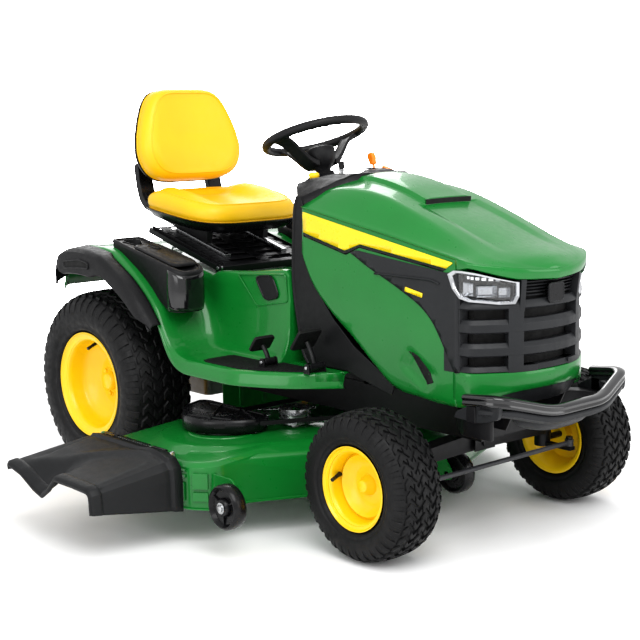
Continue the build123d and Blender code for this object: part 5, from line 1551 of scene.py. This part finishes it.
def pressed(name, rows):
    """Closed deck pressing through plan outlines, given as (z, ring)."""
    shape = [[(x, y, z(y) if callable(z) else z) for x, y in ring] for z, ring in rows]
    return grid(name, shape, "deck", "green_paint", GREEN, wrap_columns=True, caps=True)


def tunnel_ring(inset):
    """Plan of the discharge side, with a chamfered front corner."""
    corners = [(395 + inset, -440), (395 + inset, -700 + inset), (806, -700 + inset),
               (872 - inset, -648 + inset / 2), (872 - inset, -440)]
    return rounded(corners, [1, 12, 30, 30, 1], 4)


def deck_shell():
    """Pressed shell with a rolled bottom flange, a sloping shoulder and the discharge tunnel."""
    def roof(drop):
        return lambda y: 228 + 20 * min(max((y + 700) / 260, 0), 1) - drop

    outer = [(100, 256), (103.5, 256), (106, 250), (212, 250), (221, 247), (227, 241), (232, 228), (243, 197),
             (248, 187), (250, 178)]
    shell = pressed("deck_pressing", [(z, hull_ring(r)) for z, r in outer])
    inner = [(94, 245), (218, 245), (227, 226), (245, 173)]
    hollow = pressed("deck_hollow", [(z, hull_ring(r)) for z, r in inner])
    tunnel = pressed("deck_tunnel", [(100, tunnel_ring(-6)), (103.5, tunnel_ring(-6)), (106, tunnel_ring(0)),
                                     (roof(30), tunnel_ring(0)), (roof(12), tunnel_ring(4)),
                                     (roof(4), tunnel_ring(12)), (roof(0), tunnel_ring(24))])
    bore = pressed("deck_bore", [(94, tunnel_ring(5)), (roof(34), tunnel_ring(5)),
                                 (roof(5), tunnel_ring(26))])
    mouth = box("deck_mouth", (420, 740), (-712, -560), (90, 206), "deck", "green_paint", GREEN, bevel=0)
    parts = [carved(shell, [("UNION", tunnel), ("DIFFERENCE", hollow), ("DIFFERENCE", bore),
                            ("DIFFERENCE", mouth)])]
    # Stamped panels on the side and on the corner.
    corner = [(756, 122), (798, 122), (798, 176), (756, 176)]
    parts.append(slab("deck_tab", rounded(corner, 5, 3), upright(-699, -1), 0, 5, "deck", "green_paint",
                      GREEN, bevel=1.5))
    for n, (z0, z1) in enumerate(((184, 198), (204, 213))):
        parts.append(slab(f"deck_rib_{n}", rounded([(756, z0), (802, z0 + 4), (802, z1), (756, z1)], 4, 3),
                          upright(-698, -1), 0, 4.5, "deck", "green_paint", GREEN, bevel=2))
    facet_start, facet_run, outward = Vector((824, -693, 0)), Vector((34, 28, 0)), Vector((0.62, -0.78, 0))

    def on_facet(u, v, d):
        return tuple(facet_start + facet_run * u + Vector((0, 0, v)) + outward * (d - 3))

    for n, (z0, z1) in enumerate(((126, 150), (160, 204))):
        outline = rounded([(0, z0), (1, z0), (1, z1), (0, z1)], 0.12, 3)
        parts.append(slab(f"deck_facet_{n}", outline, on_facet, 0, 6, "deck", "green_paint", GREEN, bevel=2))
    # Chute hinge: two lugs and the rod between them.
    hinge_y, hinge_z = CHUTE_HINGE
    for x in (402, 732):
        lug = rounded([(-686, 222), (-706, 226), (-713, 240), (-713, 252), (-706, 254), (-698, 252),
                       (-686, 246)], [2, 6, 4, 5, 3, 5, 3], 4)
        parts.append(slab(f"chute_lug_{x}", lug, lambda u, v, d: (x + d, u, v), 0, 10, "deck", "green_paint",
                          GREEN, bevel=1.5))
    rod = [(395, hinge_y, hinge_z), (756, hinge_y, hinge_z)]
    parts.append(tube("chute_rod", rod, 5, "deck", "green_paint", STEEL, sides=16, bevel=1))
    # Brackets and bolts of the gauge wheels.
    for name, x, y in GAUGE_WHEELS:
        s = -1 if y < 0 else 1
        inner = y - s * 38
        back = x - (110 if name != "left" else 235)
        arm = rounded([(back, 128), (x - 8, 122), (x + 20, 130), (x + 20, 156), (x - 20, 206), (back, 206)],
                      [4, 14, 16, 14, 14, 4], 4)
        parts.append(slab(f"gauge_arm_{name}", arm, upright(inner, s), 0, 6, "deck", "green_paint", GREEN,
                          bevel=1.5))
        bolt = [(x, inner, GAUGE_Z), (x, y + s * 23, GAUGE_Z)]
        parts.append(tube(f"gauge_bolt_{name}", bolt, 9, "deck", "green_paint", STEEL, sides=18))
        head = [(22, 0), (22, 15.5), (24, 15.5), (24.2, 11), (28, 10.2), (29, 8), (29, 0)]
        parts.append(lathe(f"gauge_head_{name}", head, (x, y, GAUGE_Z), "deck", "green_paint", STEEL, sign=s,
                           steps=24, angle=25))
    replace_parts(join("deck_shell_whole", parts), "deck_shell")
    # Pieces on the shell: top pad rings, dark bolt, spring round the hinge rod.
    for n, (x, y) in enumerate(SPINDLES):
        ring = [(249, 92), (252.5, 94), (252.5, 104), (249, 106)]
        lathe(f"deck_pad_{n}", ring, (x, y, 0), "deck", "green_paint", GREEN, axis="z", steps=48, closed=True,
              angle=50)
    bolt = [(3, 0), (3, 8), (6, 8), (8, 6), (8, 0)]
    lathe("deck_tab_bolt", bolt, (776, -699, 146), "deck", "frame_black", SOOT, sign=-1, steps=12, angle=25)
    coil = []
    coils, sides, length = 14, 12, 154.56
    for t in span(0, coils, coils * sides + 1):
        turn = 2 * pi * t
        coil.append((492 + length * t / coils, hinge_y + 8 * cos(turn), hinge_z + 8 * sin(turn)))
    tube("chute_spring", coil, 1.9, "deck", "frame_black", SOOT, sides=8)
    cap = [(0, 5), (0, 8), (4, 9), (8, 7.5), (9, 0)]
    lathe("chute_rod_cap", cap, (748, hinge_y, hinge_z), "deck", "bright_steel", STEEL, axis="x", steps=24)


def gauge_wheels():
    """Moulded wheels with a crowned tread, a dished face and thin ribs."""
    outline = [(6, 25), (15, 24), (13.5, 49), (6, 49)]
    for name, x, y in GAUGE_WHEELS:
        s = -1 if y < 0 else 1
        profile = [(-21, 9.6), (-21, 22), (-19, 24), (-13, 27), (-12, 46), (-15, 49), (-21, 53), (-21, 56),
                   (-17, 60), (-9, 62), (9, 62), (17, 60), (21, 56), (21, 53), (15, 49), (10, 46), (8, 27),
                   (18, 24), (21, 22), (21, 9.6)]
        parts = [lathe(f"gauge_{name}", profile, (x, y, GAUGE_Z), f"gauge_wheel_{name}", "black_plastic",
                       SMOOTH, sign=s, steps=56, closed=True, angle=40)]
        for k in range(3):
            turn = 2 * pi * k / 3 + 0.5

            def spoke(u, v, d):
                return (x + v * cos(turn) - d * sin(turn), y + s * u, GAUGE_Z + v * sin(turn) + d * cos(turn))

            parts.append(slab(f"gauge_rib_{name}_{k}", outline, spoke, -1.6, 1.6, f"gauge_wheel_{name}",
                              "black_plastic", SMOOTH, bevel=0.5))
        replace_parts(join(f"gauge_wheel_{name}_whole", parts), f"gauge_wheel_{name}")


COVER_MIDDLE, COVER_TOP = Vector((610, -410)), 293.5
COVER_PLAN = [(752, -396), (736, -452), (652, -532), (556, -530), (440, -446), (404, -352), (430, -333),
              (600, -330), (732, -336)]


def cover_ring(inset, s):
    """Plan of a belt cover, moved in towards its middle."""
    points = []
    for point in rounded(COVER_PLAN, [14, 60, 50, 50, 60, 30, 20, 200, 20], 6):
        away = Vector(point) - COVER_MIDDLE
        x, y = COVER_MIDDLE + away * (1 - inset / away.length)
        points.append((x, -s * y))
    return points


def belt_covers():
    """Low moulded covers with a skirt, a raised border and a ribbed top."""
    parts = []
    for hand, s in SIDES:
        # The skirt stops above the belt on the inner side.
        rows = [[(x, y, 289 if abs(y) < 352 else 258) for x, y in cover_ring(0, s)]]
        for z, inset in ((286, 1.5), (292, 3), (296, 7), (296, 15), (COVER_TOP, 17), (COVER_TOP, 30),
                         (294, 34)):
            rows.append([(x, y, z) for x, y in cover_ring(inset, s)])
        count = len(rows[0])
        faces = sheet_faces(len(rows), count, wrap_columns=True)
        faces.append(tuple((len(rows) - 1) * count + c for c in range(count)))
        skin = piece(f"belt_cover_{hand}", [p for row in rows for p in row], faces, "deck", "black_plastic",
                     SMOOTH, angle=40)
        parts.append(thick(skin, 2.5))
        ribs = (((476, -362), (612, -352)), ((520, -352), (650, -500)), ((620, -350), (735, -398)),
                ((700, -455), (560, -506)))
        for n, (start, end) in enumerate(ribs):
            path = [(start[0], -s * start[1], 294), (end[0], -s * end[1], 294)]
            parts.append(tube(f"cover_rib_{hand}_{n}", path, 5, "deck", "black_plastic", SMOOTH, sides=12,
                              flatten=0.9, bevel=1.5))
        boss = [(0, 30), (2.5, 30), (4, 27), (4, 20), (2, 17), (2, 0)]
        parts.append(lathe(f"cover_boss_{hand}", boss, (640, s * 430, COVER_TOP), "deck",
                           "black_plastic", SMOOTH, axis="z", steps=36))
    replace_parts(join("belt_covers_whole", parts), "belt_covers")


def spindle_housings():
    """Cast housings with their bolts, and the grooved tensioner pulley."""
    parts = []
    for n, (x, y) in enumerate(SPINDLES):
        cast = [(150, 13.4), (150, 34), (154, 36), (250, 36), (250, 58), (254.5, 58), (256, 56), (256, 40),
                (261, 36), (262, 13.4)]
        parts.append(lathe(f"spindle_{n}", cast, (x, y, 0), "deck", "cast_grey", CAST, axis="z", steps=40,
                           closed=True, angle=35))
        for k, turn in enumerate(turns(4)):
            head = [(256, 0), (256, 8), (260, 8), (262, 5.5), (262, 0)]
            parts.append(lathe(f"spindle_bolt_{n}_{k}", head, (x + 48 * cos(turn), y + 48 * sin(turn), 0),
                               "deck", "cast_grey", STEEL, axis="z", steps=6, angle=25))
    pulley = [(250, 0), (250, 24), (254, 24), (256, 14), (259, 14), (260, 49), (262.5, 49), (265, 42),
              (271.5, 42), (274, 49), (276.5, 49), (279, 42), (285.5, 42), (288, 49), (290.5, 49), (293, 42),
              (299.5, 42), (302, 49), (304.5, 49), (304.5, 44), (302.5, 38), (300, 20), (304, 16), (306, 12),
              (306, 0)]
    parts.append(lathe("tensioner_pulley", pulley, (*TENSIONER, 0), "deck", "cast_grey", STEEL, axis="z",
                       steps=64, angle=30))
    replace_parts(join("spindle_housings_whole", parts), "spindle_housings")
    rods = (((470, -262, 262), (560, -215, 266), (690, -118, 276)), ((560, -300, 262), (640, -262, 268)))
    for n, path in enumerate(rods):
        tube(f"deck_link_{n}", path, 8, "deck", "bright_steel", STEEL, sides=12, flatten=0.45, bevel=1)


# Chute sections, rear edge to the front's bottom edge, at the deck and at the lip.
CHUTE_INNER = [(404, 233), (404, 250), (440, 252), (490, 252), (530, 252), (570, 252), (620, 252), (690, 252),
               (744, 249), (776, 240), (794, 222), (800, 190), (800, 98)]
CHUTE_OUTER = [(332, 178), (328, 192), (400, 177), (468, 146), (508, 135), (546, 160), (583, 196), (670, 197),
               (740, 195), (753, 191), (761, 182), (763, 165), (765, 134)]
CHUTE_FLAT = 195
CHUTE_Y = (-714, -982)
RIDGE_K = 8  # section at which the diagonal ridge and the flat top end


def chute_point(k, t, proud=0.0):
    """Point on the chute between the deck (t = 0) and its outer lip (t = 1)."""
    low, high = int(k), min(int(k) + 1, len(CHUTE_INNER) - 1)
    mix = k - low
    ix, iz = [CHUTE_INNER[low][c] * (1 - mix) + CHUTE_INNER[high][c] * mix for c in (0, 1)]
    ox, oz = [CHUTE_OUTER[low][c] * (1 - mix) + CHUTE_OUTER[high][c] * mix for c in (0, 1)]
    x = ix + (ox - ix) * t
    if 1.5 < k < RIDGE_K + 0.5:
        z = iz + (CHUTE_FLAT - iz) * t + (oz - CHUTE_FLAT) * steady(t, 0.45, 1.0)
    else:
        z = iz + (oz - iz) * t
    # The diagonal ridge from the front of the hinge to the rear tip of the lip.
    across = k / RIDGE_K - (1 - t)
    z += 7 * (1 - steady(abs(across), 0, 0.14)) * steady(k, 0.8, 2) * (1 - steady(k, 7.6, 8.6))
    z -= 9 * (1 - steady(t, 0.03, 0.1)) * (1 - steady(k, 7.6, 9.4))
    lean = steady(k, 8.2, 10.5)
    return (x + proud * lean, CHUTE_Y[0] + (CHUTE_Y[1] - CHUTE_Y[0]) * t, z + proud * (1 - lean))


def discharge_chute():
    """Moulded chute with a collar at the deck, a ridge and a notched, rolled lip."""
    last = len(CHUTE_INNER) - 1
    ks = span(0, last, 6 * last + 1)
    rows = []
    levels = [(0.0, 5), (0.085, 5), (0.1, 0.5), (0.115, -1.5), (0.135, -1.5), (0.15, 0)]
    levels += [(t, 0) for t in span(0.2, 0.88, 14)] + [(0.9, 3.5), (0.915, 4.5), (0.98, 4.5), (1.0, 2)]
    for t, proud in levels:
        rows.append([chute_point(k, t, proud) for k in ks])
    skin = grid("chute_skin", rows, "chute", "black_plastic", CHUTE_GREY, angle=26)
    parts = [thick(skin, 4.5)]
    lip = [chute_point(k, 0.992, -2) for k in ks]
    parts.append(tube("chute_lip", lip, 6.5, "chute", "black_plastic", CHUTE_GREY, sides=12))
    hinge_y, hinge_z = CHUTE_HINGE
    for x0 in (418, 658):
        parts.append(lathe(f"chute_knuckle_{x0}", [(0, 5.8), (0, 8), (2, 9), (62, 9), (64, 8), (64, 5.8)],
                           (x0, hinge_y, hinge_z), "chute", "black_plastic", SMOOTH, axis="x", steps=24,
                           closed=True))
        tab = rounded([(x0 + 6, -722), (x0 + 58, -722), (x0 + 58, -712), (x0 + 6, -712)], 3, 3)
        parts.append(slab(f"chute_tab_{x0}", tab, flat(), 243, 255, "chute", "black_plastic", SMOOTH,
                          bevel=1.5))
    # The grooves are thin tubes in painted shade black laid on the skin: painted shade in the grooves.
    groove_shade_lines = [[chute_point(k, 0.125, 0.6) for k in span(1, last, 60)],
               [chute_point(k, 0.9, 1) for k in span(1, last, 60)],
               [chute_point(RIDGE_K * (1 - t), t, 1.2) for t in span(0.14, 0.9, 24)],
               [chute_point(8.9, t, 0.6) for t in span(0.14, 0.9, 16)]]
    for n, path in enumerate(groove_shade_lines):
        parts.append(tube(f"chute_groove_{n}", path, 1.7, "chute", "black_plastic", PAINTED_SHADE, sides=6))
    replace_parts(join("chute_whole", parts), "discharge_chute")


def rear_baffle():
    """Upright green plate between the rails, behind the deck."""
    edge = rounded([(-150, 200), (150, 200), (168, 216), (168, 299), (-168, 299), (-168, 216)],
                   [14, 14, 8, 3, 3, 8], 4)
    parts = [slab("rear_baffle", edge, lambda u, v, d: (284 + d, u, v), 0, 4, "chassis", "green_paint", GREEN,
                  bevel=1.2)]
    for y in (-96, 0, 96):
        rib = rounded([(y - 7, 216), (y + 7, 216), (y + 7, 288), (y - 7, 288)], 6, 4)
        parts.append(slab(f"rear_baffle_rib_{y}", rib, lambda u, v, d: (288 + d, u, v), -1, 5, "chassis",
                          "green_paint", GREEN, bevel=2))
    join("rear_baffle_whole", parts)


deck_shell()
rear_baffle()
gauge_wheels()
belt_covers()
spindle_housings()
discharge_chute()


# ---------------------------------------------------------------------- front
BAR = ((1445, -266, 441), (1548, -270, 452), (1598, -104, 408), (1598, 104, 408), (1548, 270, 452),
       (1445, 266, 441))
SKID = ((1500, -252, 414), (1540, -252, 420), (1588, -104, 381), (1588, 104, 381), (1540, 252, 420),
        (1500, 252, 414))


def bent(points, reach):
    """Straight runs joined by rounded corners."""
    points = [Vector(p) for p in points]
    path = [points[0]]
    for before, corner, after in zip(points, points[1:], points[2:]):
        start = corner + (before - corner).normalized() * reach
        end = corner + (after - corner).normalized() * reach
        path += [start * (1 - t) ** 2 + corner * (2 * t * (1 - t)) + end * t * t for t in span(0, 1, 8)]
    return path + [points[-1]]


def bar_section(name, path, section, slot, material, **more):
    """Sweep a section given as (sideways, up) offsets along a path."""
    rows = []
    for before, point, after in zip(path[:1] + path, path, path[1:] + path[-1:]):
        ahead = after - before
        side = ahead.cross(Vector((0, 0, 1))).normalized()
        up = side.cross(ahead).normalized()
        rows.append([tuple(point + side * a + up * b) for a, b in section])
    return grid(name, rows, "chassis", slot, material, wrap_columns=True, caps=True, **more)


def front():
    """Bumper bar with two ridges, grey skid under it, arms and the chin under the hood."""
    quarter = [(4, 16), (11, 14), (15.4, 10), (16, 5.5), (13.4, 2.5)]
    right = quarter + [(u, -v) for u, v in reversed(quarter)]
    outline = right + [(-u, v) for u, v in reversed(right)]
    bar = bar_section("bumper_whole", bent(BAR, 40), outline, "gloss_black", BLACK_GLOSS, angle=60)
    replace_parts(bar, "bumper_bar")
    skid = [(25, -2), (26, 8), (22, 12), (-16, 12), (-20, 8), (-14, -8), (10, -10)]
    parts = [bar_section("skid", bent(SKID, 44), skid, "frame_black", GREY, angle=40)]
    apron = rounded([(1486, -150), (1560, -126), (1588, -70), (1588, 70), (1560, 126), (1486, 150)], 30, 6)
    rows = []
    for z, share in ((378, 1.0), (370, 0.98), (352, 0.8), (342, 0.62)):
        rows.append([(1500 + (x - 1500) * share, y * share, z) for x, y in apron])
    parts.append(grid("bumper_apron", rows, "chassis", "frame_black", GREY, wrap_columns=True, caps=True,
                      angle=40))
    for s in (-1, 1):
        arm = rounded([(1330, 156), (1396, 156), (1440, 214), (1520, 240), (1520, 254), (1490, 256),
                       (1420, 256), (1330, 176)], [2, 20, 20, 6, 4, 4, 20, 2], 4)
        parts.append(slab(f"bumper_arm_{s}", arm, lambda u, v, d: (u, s * v, d), 340, 392, "chassis",
                          "frame_black", SOOT, bevel=3))
        parts.append(box(f"bumper_post_{s}", (1450, 1482), sorted((s * 254, s * 272)), (384, 428), "chassis",
                         "frame_black", SOOT, bevel=3))
        gusset = rounded([(1404, 388), (1412, 406), (1500, 448), (1560, 440), (1556, 404), (1490, 384)],
                         [4, 8, 12, 10, 12, 24], 4)
        parts.append(slab(f"bumper_gusset_{s}", gusset, upright(s * 254, s), 0, 14, "chassis",
                          "frame_black", GREY, bevel=3))
    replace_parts(join("bumper_bracket_whole", parts), "bumper_bracket")
    chin = [(458, 9), (452, 7), (432, 12), (410, 26), (404, 44), (408, 50), (448, 44), (456, 40)]
    swept("hood_chin", -5.0, 5.0, chin, GREY, "grey_plastic", 61, 1.2)


front()


# ------------------------------------------- finishes of the nodes that show as they are
BARE = (
    (PLASTIC, ("battery", "engine_shroud", "fuel_tank")),
    (STEEL, ("blade_left", "blade_centre", "blade_right", "engine_pulley")),
    (RUBBER, ("deck_belt", "drive_belt")),
    (ALLOY, ("engine_block", "transaxle_housing")),
    (SOOT, ("frame_crossmembers", "frame_rails", "front_axle_beam", "knuckle_left", "knuckle_right",
            "lift_pedal", "muffler")),
    (CAST, ("tie_rod",)),
)
for material, nodes in BARE:
    for node in nodes:
        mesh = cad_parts[node].data
        mesh.materials.clear()
        mesh.materials.append(material)
